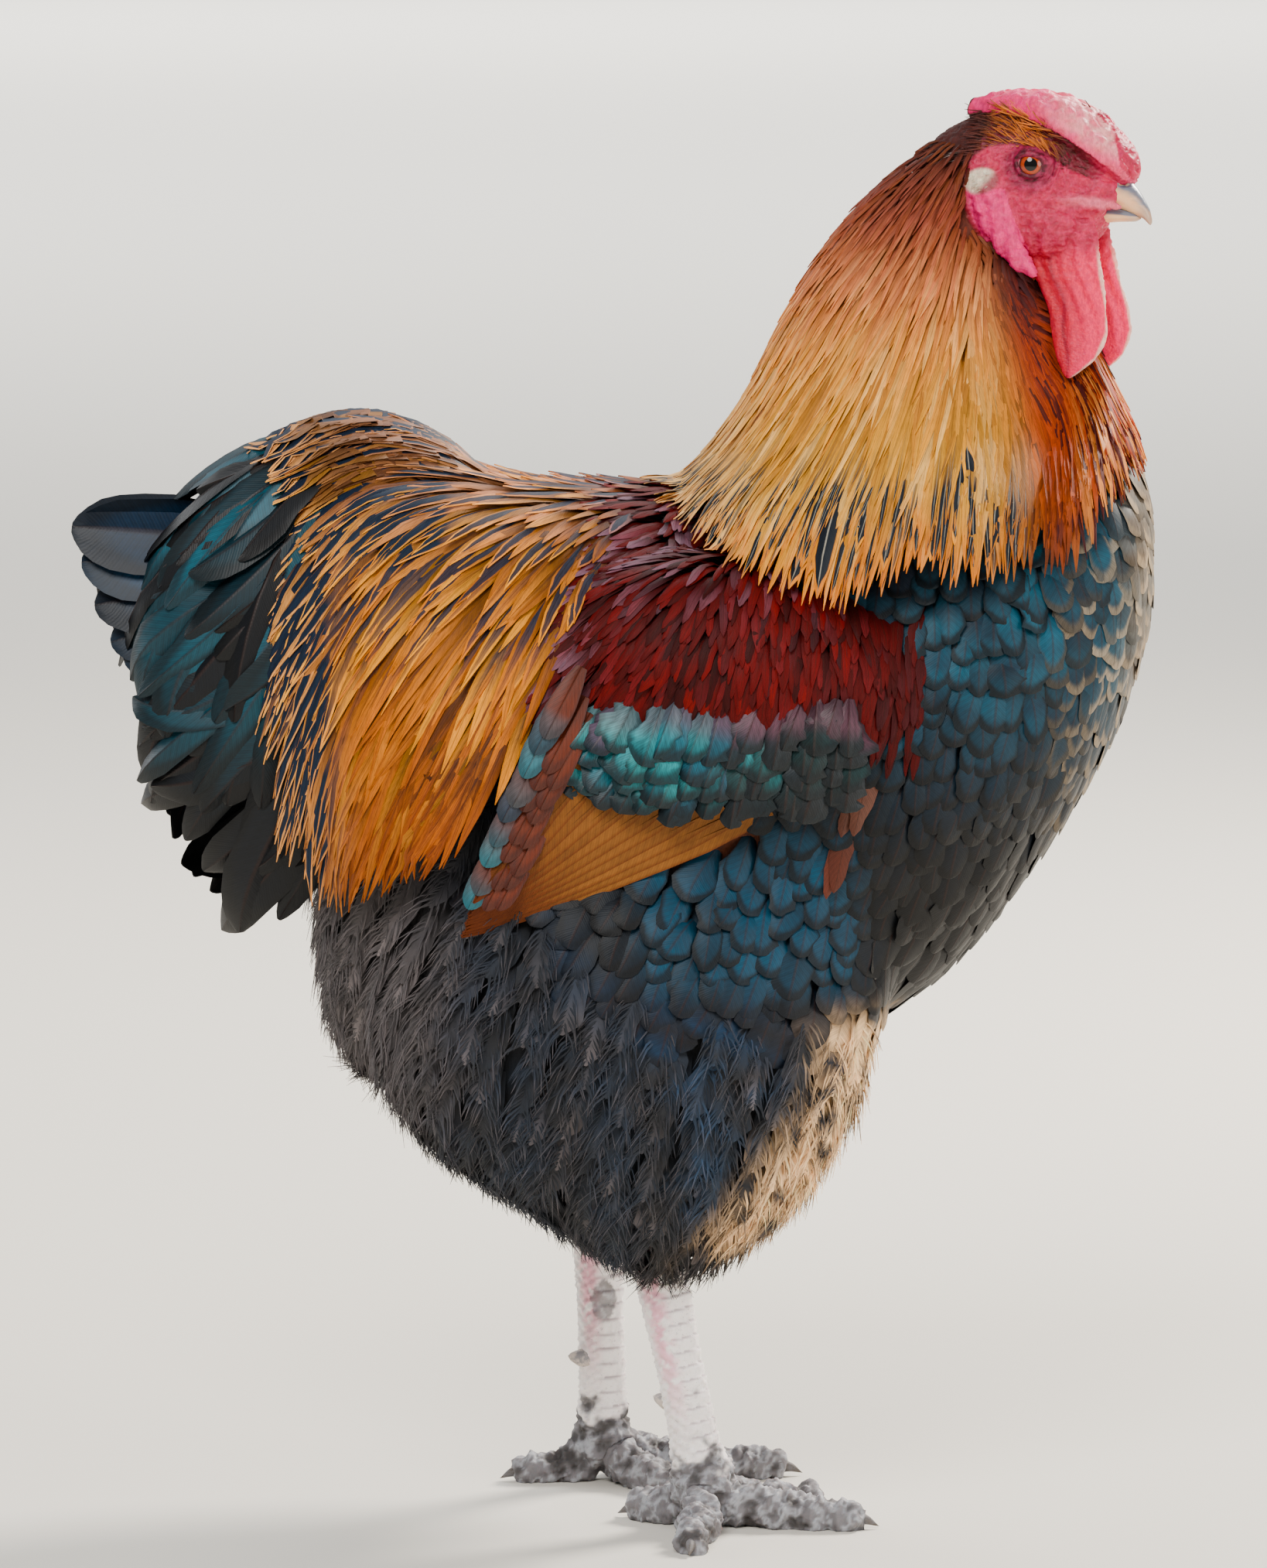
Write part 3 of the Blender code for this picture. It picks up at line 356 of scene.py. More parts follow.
# Feathers that start less than this many degrees from the top of the rump end at this x.
SADDLE_TOP = 22
SADDLE_END = -0.122
SADDLE_SHARE = ((0, 0.55), (18, 0.62), (38, 0.76), (58, 1.00), (76, 0.75))
VANE_SHARES = (0, 0.22, 0.45, 0.66, 0.82, 0.92, 0.98, 1)
BROAD_SHARES = (0, 0.10, 0.22, 0.35, 0.48, 0.61, 0.73, 0.83, 0.90, 0.95, 0.985, 1)
# Rows of the wing bar, as (first x, last x, top z, bottom z, y, how many).
BAR_TIERS = (
    (0.084, -0.006, 0.284, 0.2620, 0.0978, 16),
    (0.083, -0.006, 0.291, 0.2690, 0.0988, 16),
    (0.083, -0.006, 0.298, 0.2760, 0.0998, 16),
    (0.082, -0.004, 0.305, 0.2830, 0.1008, 15),
)
# Rows of tail coverts, as (first x, first turn, last x, last turn, how many, first and last length, and for
# the lower ones the x from which they spread).
COVERT_ROWS = (
    (-0.058, 62, -0.090, 34, 9, 0.150, 0.150),
    (-0.064, 50, -0.100, 18, 10, 0.140, 0.128),
    (-0.072, 40, -0.104, 8, 10, 0.112, 0.098),
    (-0.080, 56, -0.108, 20, 9, 0.086, 0.076),
    (-0.084, 30, -0.106, 4, 8, 0.072, 0.062),
    (-0.088, 100, -0.118, 70, 10, 0.096, 0.086, 0.030),
    (-0.094, 84, -0.124, 52, 10, 0.086, 0.074, 0.030),
)
# The line below which the feathers turn to down, as (x, z).
FLUFF_TOP = (
    (-0.10, 0.270),
    (-0.03, 0.240),
    (0.00, 0.206),
    (0.05, 0.196),
    (0.09, 0.192),
    (0.12, 0.165),
    (0.14, 0.100),
)
THIGH_FRONT = ((0.09, 0.040), (0.105, 0.052), (0.130, 0.072), (0.156, 0.090), (0.20, 0.104))  # (z, x)
# Rows of the wing's innermost feathers, as (how many, shift ahead of the edge, half width, length, rise of
# the row).
TERTIAL_ROWS = (
    (7, 0.0085, 0.0040, 0.030, 0.046),
    (7, 0.0040, 0.0044, 0.030, 0.052),
    (9, -0.0020, 0.0050, 0.028, 0.064),
)
# Brown feathers that lie over the flank, as (x of the root, z of the root, length, half width).
BROWN_LEAVES = (
    (0.0950, 0.290, 0.034, 0.0046),
    (0.0905, 0.284, 0.030, 0.0034),
    (0.0890, 0.263, 0.034, 0.0042),
    (0.0855, 0.256, 0.030, 0.0030),
)
# How many flights are in a wing, broad tail feathers and ear bristles on a side, and barbs in a tuft.
FLIGHTS = 12
TAIL_FEATHERS = 6
EAR_BRISTLES = 90
BARBS = 30
# Length, rise towards the crown and lift off the skin of the head's bristles, by x.
CROWN_LENGTH = ((0.12, 0.0080), (0.140, 0.0070), (0.155, 0.0085), (0.176, 0.0035))
CROWN_RISE = ((0.118, -0.70), (0.132, -0.35), (0.142, 0.20), (0.150, 0.80), (0.158, 1.00), (0.166, 0.40))
CROWN_LIFT = ((0.132, 0.08), (0.150, 0.26), (0.170, 0.12))
# The gap between bristles, between the feathers of the bow and between tufts of down.
CROWN_GAP = 0.0007
BOW_GAP = 0.0029
FLUFF_GAP = 0.0088
# The gap between the body's scale-like feathers, by x.
SCALE_GAP = ((0.10, 0.0070), (0.18, 0.0056))
# The lowest and the highest row of the hackle and the rise from row to row, and the gap in a row by z.
HACKLE_ROWS = (0.388, 0.4985, 0.0029)
HACKLE_PITCH = ((0.390, 0.0034), (0.440, 0.0026), (0.492, 0.0017))
# Where the rows of the saddle start in front and end behind, by degrees from the top.
SADDLE_FIRST = ((0, 0.020), (40, 0.000), (60, -0.016), (75, -0.030))
SADDLE_LAST = ((0, -0.098), (60, -0.098), (75, -0.092))
SADDLE_GAP = 0.0040
# Points from which the feathers of a group spread, as (x, y, z).
HACKLE_SOURCE = (0.140, 0.0, 0.520)
SADDLE_SOURCE = (0.060, 0.0, 0.470)
BODY_SOURCE = (0.115, 0.0, 0.430)
FLUFF_SOURCE = (0.070, 0.0, 0.430)
COVERT_SOURCE_X = -0.060
COVERT_SOURCE_Z = 0.420
# Thickness of the lids' rims above and below the eye, and points along and round a rim.
LID_THICK = (0.00115, 0.00085)
RIM_STEPS = 64
RIM_COUNT = 12
# How wattles and lobes hang, as (y at the top, y at the bottom, thickness, wave).
WATTLE_HANG = (0.0090, 0.0140, 0.0046, 0.0012)
LOBE_HANG = (0.0180, 0.0200, 0.0052, 0.0006)
# The warts of the comb and the grains under the eye, as (gap, height, radius).
WARTS = (0.0030, 0.0007, 0.0021)
GRAINS = (0.0012, 0.00038, 0.0008)
# Heights of the face's creases, of the fine grain on and off the face, of the rings ahead of the eye and of
# the folds in the hanging flesh, and the gap between those rings.
CREASE_HEIGHT = 0.00055
FACE_GRAIN = 0.00014
OTHER_GRAIN = 0.00008
EYE_RING_HEIGHT = 0.00055
EYE_RING_GAP = 0.0023
FOLD_HEIGHT = 0.00040
# Heights on the legs: of the plates, the seam between their two rows, the grains behind, the lumps, the mud
# and the rings on the toes.
PLATE_HEIGHT = 0.0011
SEAM_DEPTH = 0.0005
LEG_GRAIN = 0.00045
LEG_LUMPS = 0.00050
MUD_HEIGHT = 0.0021
TOE_RINGS = 0.00022
# Half widths of a spur by its length's share, how far it reaches back, inwards and up, and its place on the
# shank.
SPUR_HALF = ((0, 0), (0.12, 0.0042), (0.65, 0.0032), (0.9, 0.0016), (1, 0))
SPUR_REACH = (0.0125, 0.007, 0.002)
SPUR_PLACE = 0.62
# How fine the fused forms are.
FORM_VOXEL = 0.004
SKIN_VOXEL = 0.0035
HEAD_VOXEL = 0.0007
FACE_VOXEL = 0.00056
LEG_VOXEL = 0.00072
# How far the skin lies under the outer forms, and how far feathers stay outside the forms under them.
COAT_DEPTH = 0.005
WALL_ROOM = 0.0022
# Points along a feather's middle line, less one.
STEPS = 8
# Edges sharper than this stay hard.
SHARP = math.radians(65)
# Below this height the skin is that of the legs.
LEG_TOP = 0.108
# Random points tried for each feather that finds room.
DENSITY = 6.0

# Half the width of the floor, the point that the camera looks at, and the camera's rise in degrees.
FLOOR_SIZE = 40.0
TARGET = (0.0077, 0.0, 0.264)
CAMERA_RISE = 6.5
CAMERA_DISTANCE = 3.0
CAMERA_LENS = 190.3


def rgb(red, green, blue):
    """A linear colour from the usual 0 to 255 values, deepened for soft light from all round."""
    share = np.array([red, green, blue]) / 255
    linear = np.where(share <= 0.04045, share / 12.92, ((share + 0.055) / 1.055) ** 2.4)
    light = linear @ np.array((0.2126, 0.7152, 0.0722))
    vivid = light + (linear - light) * 1.40
    return np.clip(vivid * min(1.0, (light / 0.40) ** 0.30), 0.0015, 1)


SLATE = rgb(30, 38, 48)
MAROON = rgb(98, 14, 10)
# Painted sheen: lilac streaks on the back and the wing bow.
LILAC_SHEEN = rgb(160, 130, 146)
UMBER = rgb(116, 52, 26)
INK = rgb(16, 20, 25)
# Mostly painted rim light on the down at the thigh's front.
RIM_LIT_CREAM = rgb(255, 212, 176)
FLESH = rgb(214, 24, 92)
FLESH_DARK = rgb(128, 10, 54)
FLESH_PALE = rgb(244, 110, 146)

# Colours along the hackle's height, at the sides and in front.
HACKLE_SIDE = (
    (0.325, rgb(196, 128, 64)),
    (0.350, rgb(214, 154, 86)),
    (0.372, rgb(208, 162, 102)),
    (0.396, rgb(212, 156, 96)),
    (0.420, rgb(222, 158, 104)),
    (0.445, rgb(204, 132, 100)),
    (0.468, rgb(158, 88, 74)),
    (0.492, rgb(108, 60, 52)),
)
# In front, the dark plum high up, just under the earlobes, is partly the feathers' colour and partly painted
# shade.
HACKLE_FRONT = (
    (0.345, rgb(104, 54, 34)),
    (0.372, rgb(158, 80, 32)),
    (0.395, rgb(196, 92, 26)),
    (0.425, rgb(172, 78, 34)),
    (0.445, rgb(96, 46, 46)),
    (0.460, rgb(112, 58, 50)),
)
DISPLAY_STOPS = ((0.330, rgb(206, 118, 24)), (0.372, rgb(216, 160, 88)), (0.410, rgb(206, 148, 92)))
# Colours down the saddle, from its ridge to its lowest tips.
SADDLE_STOPS = (
    (0.00, rgb(208, 152, 122)),
    (0.16, rgb(208, 142, 92)),
    (0.36, rgb(204, 132, 44)),
    (0.60, rgb(190, 118, 8)),
    (0.82, rgb(162, 94, 0)),
    (1.05, rgb(170, 104, 4)),
)


def unit(vectors):
    return vectors / np.maximum(np.linalg.norm(vectors, axis=-1, keepdims=True), 1e-12)


def ramp(value, low, high):
    """0 at low, 1 at high, and smooth between. Low may be the higher number."""
    share = np.clip((np.asarray(value, float) - low) / (high - low), 0, 1)
    return share * share * (3 - 2 * share)


def blend(first, second, share):
    """A mix of two colours, or arrays of colours, by an array of shares."""
    return first + (second - first) * np.asarray(share)[..., None]


def table(rows, value):
    """Looks up a value in rows of (position, value)."""
    rows = np.array(sorted(rows))
    return np.interp(value, rows[:, 0], rows[:, 1])


def columns(rows, value):
    """The other columns of a table, looked up by its first one."""
    rows = np.array(sorted(rows))
    return [np.interp(value, rows[:, 0], column) for column in rows.T[1:]]


def on_form(rows, x, turn, sign):
    """A place on a lengthwise form, turned down from its ridge to one side."""
    top, bottom, half = columns(rows, x)
    return x, sign * half * math.sin(turn), (top + bottom) / 2 + (top - bottom) / 2 * math.cos(turn)


def through(rows, per_gap):
    """More rows along a smooth curve through the given ones, which doesn't overshoot between them."""
    rows = np.array(rows, float)
    steps = np.diff(rows, axis=0)
    slopes = np.zeros_like(rows)
    before, after = steps[:-1], steps[1:]
    same_way = before * after > 0
    slopes[1:-1] = np.where(same_way, 2 * before * after / np.where(same_way, before + after, 1), 0)
    slopes[0], slopes[-1] = steps[0], steps[-1]
    t = (np.arange(per_gap) / per_gap)[None, :, None]
    found = (
        (2 * t**3 - 3 * t**2 + 1) * rows[:-1, None]
        + (t**3 - 2 * t**2 + t) * slopes[:-1, None]
        + (3 * t**2 - 2 * t**3) * rows[1:, None]
        + (t**3 - t**2) * slopes[1:, None]
    )
    return np.vstack([found.reshape(-1, rows.shape[1]), rows[-1:]])


def rings(centres, ups, sides, count):
    """Rings of points round a line. Ups and sides are half sizes with a direction."""
    turn = np.linspace(0, 2 * math.pi, count, endpoint=False)[None, :, None]
    return centres[:, None] + ups[:, None] * np.cos(turn) + sides[:, None] * np.sin(turn)


def lengthwise(rows, per_gap=4, count=40):
    x, top, bottom, half = through(rows, per_gap).T
    centres = np.stack([x, 0 * x, (top + bottom) / 2], 1)
    return rings(centres, Z_AXIS * ((top - bottom) / 2)[:, None], Y_AXIS * half[:, None], count)


def upright(rows, per_gap=4, count=40):
    z, back, front, half = through(rows, per_gap).T
    centres = np.stack([(back + front) / 2, 0 * z, z], 1)
    return rings(centres, X_AXIS * ((front - back) / 2)[:, None], Y_AXIS * half[:, None], count)


def limb(points, halves, acrosses, side=Y_AXIS, count=24):
    ahead = unit(np.gradient(points, axis=0))
    across = unit(side - ahead * (ahead @ side)[:, None])
    return rings(points, np.cross(ahead, across) * halves[:, None], across * acrosses[:, None], count)


def grid_mesh(name, grid):
    """A mesh through rings of points, closed where the end rings shrink to a point."""
    rows, count = grid.shape[:2]
    index = np.arange(rows * count).reshape(rows, count)
    ahead = np.roll(index, -1, axis=1)
    quads = np.stack([index[:-1], ahead[:-1], ahead[1:], index[1:]], -1).reshape(-1, 4)
    mesh = bpy.data.meshes.new(name)
    mesh.from_pydata(grid.reshape(-1, 3).tolist(), [], quads.tolist())
    made = bmesh.new()
    made.from_mesh(mesh)
    bmesh.ops.remove_doubles(made, verts=made.verts, dist=1e-7)
    bmesh.ops.recalc_face_normals(made, faces=made.faces)
    made.to_mesh(mesh)
    made.free()
    return mesh


def baked(name, made):
    """A mesh from an edited one, which is freed."""
    mesh = bpy.data.meshes.new(name)
    made.to_mesh(mesh)
    made.free()
    return mesh


def ball_mesh(centre, radii, turn=0.0):
    made = bmesh.new()
    bmesh.ops.create_uvsphere(made, u_segments=32, v_segments=20, radius=1)
    spin = Matrix.Rotation(turn, 4, "Y")
    made.transform(Matrix.Translation(centre) @ spin @ Matrix.Diagonal((*radii, 1)))
    return baked("ball", made)


def joined(name, meshes):
    made = bmesh.new()
    for mesh in meshes:
        made.from_mesh(mesh)
    return baked(name, made)


def linked(name, data):
    """A new object in the scene."""
    made = bpy.data.objects.new(name, data)
    bpy.context.scene.collection.objects.link(made)
    return made


def evaluated(mesh, *modifiers):
    """The mesh after modifiers, each given as (kind, settings)."""
    body = linked("working", mesh)
    for kind, settings in modifiers:
        modifier = body.modifiers.new(kind, kind)
        for key, value in settings.items():
            setattr(modifier, key, value)
    bpy.context.view_layer.update()
    found = bpy.data.meshes.new_from_object(body.evaluated_get(bpy.context.evaluated_depsgraph_get()))
    bpy.data.objects.remove(body)
    return found


def fused(name, meshes, voxel, rounds):
    """One closed surface round several meshes, smoothed."""
    remesh = ("REMESH", {"mode": "VOXEL", "voxel_size": voxel})
    smooth = ("SMOOTH", {"factor": 0.5, "iterations": rounds})
    mesh = evaluated(joined(name, meshes), remesh, smooth)
    mesh.name = name
    return mesh


def vectors_of(items, key):
    found = np.empty(len(items) * 3)
    items.foreach_get(key, found)
    return found.reshape(-1, 3)


def coordinates(mesh):
    return vectors_of(mesh.vertices, "co")


def normals(mesh):
    return vectors_of(mesh.vertices, "normal")


def move_to(mesh, points):
    mesh.vertices.foreach_set("co", np.ascontiguousarray(points, float).ravel())
    mesh.update()


def tree_of(mesh):
    made = bmesh.new()
    made.from_mesh(mesh)
    tree = BVHTree.FromBMesh(made)
    made.free()
    return tree


def spun(points, angle):
    """Points turned about the neck's upright axis."""
    c, s = math.cos(angle), math.sin(angle)
    return (points - HEAD_PIVOT) @ np.array(((c, -s, 0), (s, c, 0), (0, 0, 1))).T + HEAD_PIVOT


def to_head(points):
    """Points of the bird in the head's own frame, before its turn."""
    return spun(points, -HEAD_TURN)


def from_head(points):
    return spun(points, HEAD_TURN)


# Materials.
class Shade:
    """A material with a Principled shader, and short ways to add nodes to it."""

    def __init__(self, name, roughness, **constants):
        self.material = bpy.data.materials.new(name)
        self.material.use_nodes = True
        self.tree = self.material.node_tree
        self.shader = self.tree.nodes["Principled BSDF"]
        self.set("Roughness", roughness)
        for key, value in constants.items():
            self.set(key.replace("_", " "), value)

    def set(self, socket, value):
        if isinstance(value, bpy.types.NodeSocket):
            self.tree.links.new(value, self.shader.inputs[socket])
        else:
            self.shader.inputs[socket].default_value = value

    def node(self, kind, inputs=(), **settings):
        node = self.tree.nodes.new(kind)
        for key, value in settings.items():
            setattr(node, key, value)
        for socket, value in dict(inputs).items():
            if isinstance(value, bpy.types.NodeSocket):
                self.tree.links.new(value, node.inputs[socket])
            else:
                node.inputs[socket].default_value = value
        return node

    def math(self, operation, first, second=0.0, clamp=False):
        node = self.node("ShaderNodeMath", {0: first, 1: second}, operation=operation, use_clamp=clamp)
        return node.outputs[0]

    def times(self, first, second):
        return self.math("MULTIPLY", first, second)

    def plus(self, first, second):
        return self.math("ADD", first, second)

    def minus(self, first, second):
        return self.math("SUBTRACT", first, second)

    def steps(self, value, low, high):
        """A smooth ramp from 0 at low to 1 at high."""
        ends = {"Value": value, "From Min": low, "From Max": high}
        return self.node("ShaderNodeMapRange", ends, interpolation_type="SMOOTHSTEP").outputs[0]

    def mix(self, share, first, second, kind="MIX"):
        ends = {"Fac": share, "Color1": first, "Color2": second}
        return self.node("ShaderNodeMixRGB", ends, blend_type=kind).outputs[0]

    def veil(self, tint, where, most, values):
        """The tint, covered by another colour in places."""
        return self.mix(self.times(where, most), tint, colour(values))

    def attribute(self, name):
        return self.node("ShaderNodeAttribute", attribute_name=name)

    def tint(self):
        """The colour stored in the mesh."""
        return self.attribute("tint").outputs["Color"]

    def set_colour(self, tint, light):
        """The tint, made lighter or darker, as the surface's colour."""
        grey = self.node("ShaderNodeCombineColor", {0: light, 1: light, 2: light}).outputs[0]
        self.set("Base Color", self.mix(1.0, tint, grey, "MULTIPLY"))

    def noise(self, scale, detail, roughness=0.5, stretch=(1, 1, 1)):
        place = self.node("ShaderNodeTexCoord").outputs["Object"]
        if stretch != (1, 1, 1):
            place = self.node("ShaderNodeMapping", {"Vector": place, "Scale": stretch}).outputs[0]
        ends = {"Vector": place, "Scale": scale, "Detail": detail, "Roughness": roughness}
        return self.node("ShaderNodeTexNoise", ends).outputs["Fac"]

    def bump(self, height, distance, strength, under=None):
        ends = {"Height": height, "Distance": distance, "Strength": strength}
        if under is not None:
            ends["Normal"] = under
        return self.node("ShaderNodeBump", ends).outputs[0]


def colour(values):
    return (*map(float, values), 1.0)


def feather_material(name, roughness, barbs, slant, contrast, silk, mark, quill, gloss):
    """Barbs run out from the shaft, and silk makes thin streaks along it.

    The mark is a stripe along the shaft, or an edge round the tip.
    """
    shade = Shade(name, roughness, Specular_IOR_Level=gloss)
    place = shade.attribute("place")
    parts = shade.node("ShaderNodeSeparateColor", {"Color": place.outputs["Color"]}).outputs
    across = shade.math("ABSOLUTE", shade.minus(shade.times(parts[0], 2.0), 1.0))
    length = shade.times(parts[1], place.outputs["Alpha"])
    phase = shade.times(length, barbs)
    phase = shade.minus(phase, shade.times(across, slant))
    phase = shade.plus(phase, shade.times(parts[2], 40.0))
    ridges = shade.math("SINE", phase)
    broken = shade.math("SINE", shade.times(phase, 0.37))
    ridges = shade.times(shade.plus(ridges, shade.times(broken, 0.8)), 0.5)
    ends = {"X": shade.times(parts[0], 9.0), "Y": shade.times(length, 2.2)}
    ends["Z"] = shade.times(parts[2], 90.0)
    vector = shade.node("ShaderNodeCombineXYZ", ends).outputs[0]
    streaks = shade.node("ShaderNodeTexNoise", {"Vector": vector, "Scale": 1.0, "Detail": 3.0}).outputs["Fac"]
    streaks = shade.times(shade.minus(streaks, 0.5), silk)
    cloud = shade.noise(240.0, 4.0, 0.6)
    light = shade.plus(shade.times(ridges, contrast), shade.times(cloud, 0.55))
    light = shade.plus(shade.plus(light, streaks), 0.72)
    tint = shade.tint()
    marks = shade.attribute("mark")
    strength = marks.outputs["Alpha"]
    if mark == "stripe":
        narrow = shade.times(shade.steps(parts[1], 0.26, 0.60), shade.steps(parts[1], 0.99, 0.86))
        wide = shade.times(narrow, shade.plus(shade.times(strength, 0.44), 0.34))
        amount = shade.steps(shade.minus(wide, across), -0.06, 0.08)
        strength = shade.math("MULTIPLY", strength, 1.6, True)
    else:
        tip = shade.steps(parts[1], 0.42, 1.0)
        far = shade.plus(shade.math("POWER", across, 2.2), shade.math("POWER", tip, 2.0))
        amount = shade.steps(far, 0.50, 1.02)
    amount = shade.times(amount, strength)
    tint = shade.mix(amount, tint, marks.outputs["Color"])
    shaft = shade.steps(across, 0.11, 0.03)
    quill = shade.mix(amount, colour(rgb(60, 34, 24)), colour(quill))
    tint = shade.mix(shade.times(shaft, 0.40), tint, quill)
    shade.set_colour(tint, light)
    height = shade.plus(ridges, shade.times(shaft, 2.0))
    height = shade.plus(height, shade.times(streaks, 3.0))
    shade.set("Normal", shade.bump(height, 0.00006, 0.35))
    return shade.material


def hair_material(name, roughness, **constants):
    shade = Shade(name, roughness, **constants)
    tint = shade.tint()
    cloud = shade.steps(shade.noise(160.0, 4.0, 0.6), 0.25, 0.75)
    light = shade.plus(shade.times(cloud, 0.5), 0.72)
    shade.set_colour(tint, light)
    return shade.material


def flesh_material():
    shade = Shade("flesh", 0.46, Subsurface_Weight=0.30, Subsurface_Scale=0.003, Specular_IOR_Level=0.32)
    shade.shader.inputs["Subsurface Radius"].default_value = (1.0, 0.25, 0.20)
    tint = shade.tint()
    cloud = shade.steps(shade.noise(420.0, 5.0, 0.65), 0.34, 0.76)
    tint = shade.veil(tint, cloud, 0.12, FLESH_PALE)
    veins = shade.steps(shade.noise(900.0, 3.0, 0.6, (1, 1, 0.45)), 0.60, 0.42)
    tint = shade.veil(tint, veins, 0.24, FLESH_DARK)
    shade.set("Base Color", tint)
    grain = shade.node("ShaderNodeTexVoronoi", {"Scale": 1000.0}, feature="F1")
    place = shade.node("ShaderNodeTexCoord").outputs["Object"]
    shade.tree.links.new(place, grain.inputs["Vector"])
    under = shade.bump(shade.noise(500.0, 6.0, 0.65), 0.0006, 0.6)
    shade.set("Normal", shade.bump(grain.outputs["Distance"], 0.0003, 0.5, under))
    return shade.material


def leg_material():
    shade = Shade("scales", 0.62, Subsurface_Weight=0.08, Subsurface_Scale=0.003, Specular_IOR_Level=0.3)
    tint = shade.tint()
    dust = shade.steps(shade.noise(190.0, 6.0, 0.7), 0.50, 0.66)
    tint = shade.veil(tint, dust, 0.16, rgb(140, 138, 140))
    specks = shade.steps(shade.noise(800.0, 5.0, 0.75), 0.58, 0.68)
    tint = shade.veil(tint, specks, 0.45, rgb(96, 88, 92))
    shade.set("Base Color", tint)
    shade.set("Roughness", shade.plus(shade.times(dust, 0.3), 0.55))
    shade.set("Normal", shade.bump(shade.noise(1300.0, 6.0, 0.7), 0.0004, 0.7))
    return shade.material


def under_material():
    shade = Shade("under_coat", 0.9)
    tint = shade.tint()
    dark = shade.steps(shade.noise(500.0, 5.0, 0.6, (1, 1, 0.3)), 0.3, 0.7)
    shade.set("Base Color", shade.veil(tint, dark, 0.5, INK))
    shade.set("Normal", shade.bump(shade.noise(800.0, 4.0, 0.6, (1, 1, 0.2)), 0.0006, 0.8))
    return shade.material


def horn_material():
    """Cream horn, slate along the ridge and at the tip."""
    shade = Shade("horn", 0.32, Subsurface_Weight=0.10, Subsurface_Scale=0.002, Coat_Weight=0.15)
    place = shade.node("ShaderNodeTexCoord").outputs
    far = shade.node("ShaderNodeSeparateXYZ", {0: place["Generated"]}).outputs
    facing = shade.node("ShaderNodeSeparateXYZ", {0: place["Normal"]}).outputs
    pale = shade.mix(shade.noise(300.0, 4.0), colour(rgb(240, 212, 178)), colour(rgb(224, 170, 140)))
    streak = shade.noise(500.0, 4.0, 0.6, (0.15, 1, 1))
    ridge = shade.plus(facing[2], shade.times(shade.minus(streak, 0.5), 0.5))
    ridge = shade.times(shade.steps(ridge, -0.10, 0.45), shade.steps(far[0], 0.20, 0.55))
    dark = shade.math("MAXIMUM", shade.times(shade.steps(far[0], 0.72, 0.94), 0.5), ridge, True)
    slate = shade.mix(streak, colour(rgb(70, 76, 92)), colour(rgb(140, 144, 156)))
    shade.set("Base Color", shade.mix(dark, pale, slate))
    shade.set("Normal", shade.bump(streak, 0.00025, 0.5))
    return shade.material


def claw_material(name, dark, pale, mud_colour):
    shade = Shade(name, 0.55)
    streak = shade.noise(700.0, 5.0, 0.6, (0.3, 0.3, 1))
    mud = shade.steps(shade.noise(260.0, 5.0, 0.7), 0.42, 0.60)
    base = shade.mix(streak, colour(dark), colour(pale))
    shade.set("Base Color", shade.mix(mud, base, colour(mud_colour)))
    shade.set("Normal", shade.bump(shade.noise(1200.0, 5.0, 0.7), 0.0004, 0.7))
    return shade.material


def eye_material():
    """The place attribute holds the distance from the middle of the pupil, in radii of the ball."""
    shade = Shade("eye", 0.10, Coat_Weight=0.5, Coat_Roughness=0.02, Specular_IOR_Level=0.2)
    place = shade.attribute("place").outputs["Color"]
    wide = shade.node("ShaderNodeSeparateColor", {"Color": place}).outputs[0]
    threads = shade.noise(1600.0, 5.0, 0.7)
    iris = shade.mix(threads, colour(rgb(96, 26, 8)), colour(rgb(206, 98, 34)))
    rim, pupil, ball = rgb(70, 18, 12), rgb(4, 3, 3), rgb(206, 150, 156)
    for first, last, values in ((0.60, 0.76, rim), (0.47, 0.43, pupil), (0.80, 0.84, ball)):
        iris = shade.mix(shade.steps(wide, first, last), iris, colour(values))
    shade.set("Base Color", iris)
    return shade.material


PALE_QUILL = rgb(196, 190, 176)
DARK_QUILL = rgb(40, 28, 26)
# Feathers, as (roughness, barbs per unit of length, slant, contrast, silk, mark, quill, gloss).
PLUMES = {
    "hackle": (0.55, 420.0, 25.0, 0.12, 1.1, "stripe", PALE_QUILL, 0.16),
    "saddle": (0.55, 420.0, 25.0, 0.14, 1.2, "stripe", DARK_QUILL, 0.14),
    "breast": (0.52, 620.0, 34.0, 0.20, 0.3, "edge", DARK_QUILL, 0.22),
    "bow": (0.55, 520.0, 26.0, 0.12, 1.0, "edge", DARK_QUILL, 0.10),
    "flight": (0.60, 520.0, 30.0, 0.16, 0.2, "edge", DARK_QUILL, 0.14),
    "tail": (0.48, 480.0, 44.0, 0.22, 0.5, "edge", DARK_QUILL, 0.3),
    "bar": (0.46, 480.0, 44.0, 0.26, 1.6, "edge", DARK_QUILL, 0.3),
}
MATERIALS = {name: feather_material(name, *looks) for name, looks in PLUMES.items()}
MATERIALS |= {
    "fluff": hair_material("fluff", 0.8, Sheen_Weight=0.08),
    "flesh": flesh_material(),
    "scales": leg_material(),
    "under": under_material(),
    "horn": horn_material(),
    "claw": claw_material("claw", rgb(66, 60, 58), rgb(120, 112, 106), rgb(112, 110, 112)),
    "spur": claw_material("spur", rgb(176, 166, 160), rgb(214, 204, 196), rgb(140, 138, 140)),
    "eye": eye_material(),
}


# Guide forms. Each feather runs along one of these.
def mirror(rows, side):
    """Rows of (x, y, z, ...) for the left side, moved to the given side."""
    rows = np.array(rows, float)
    rows[:, 1] *= SIDES[side]
    return rows


def slab(rows, side):
    rows = through(mirror(rows, side), 4)
    return grid_mesh("slab", limb(rows[:, :3], rows[:, 3], rows[:, 4]))


def from_nodes(*names):
    return [nodes[name].data for name in names]


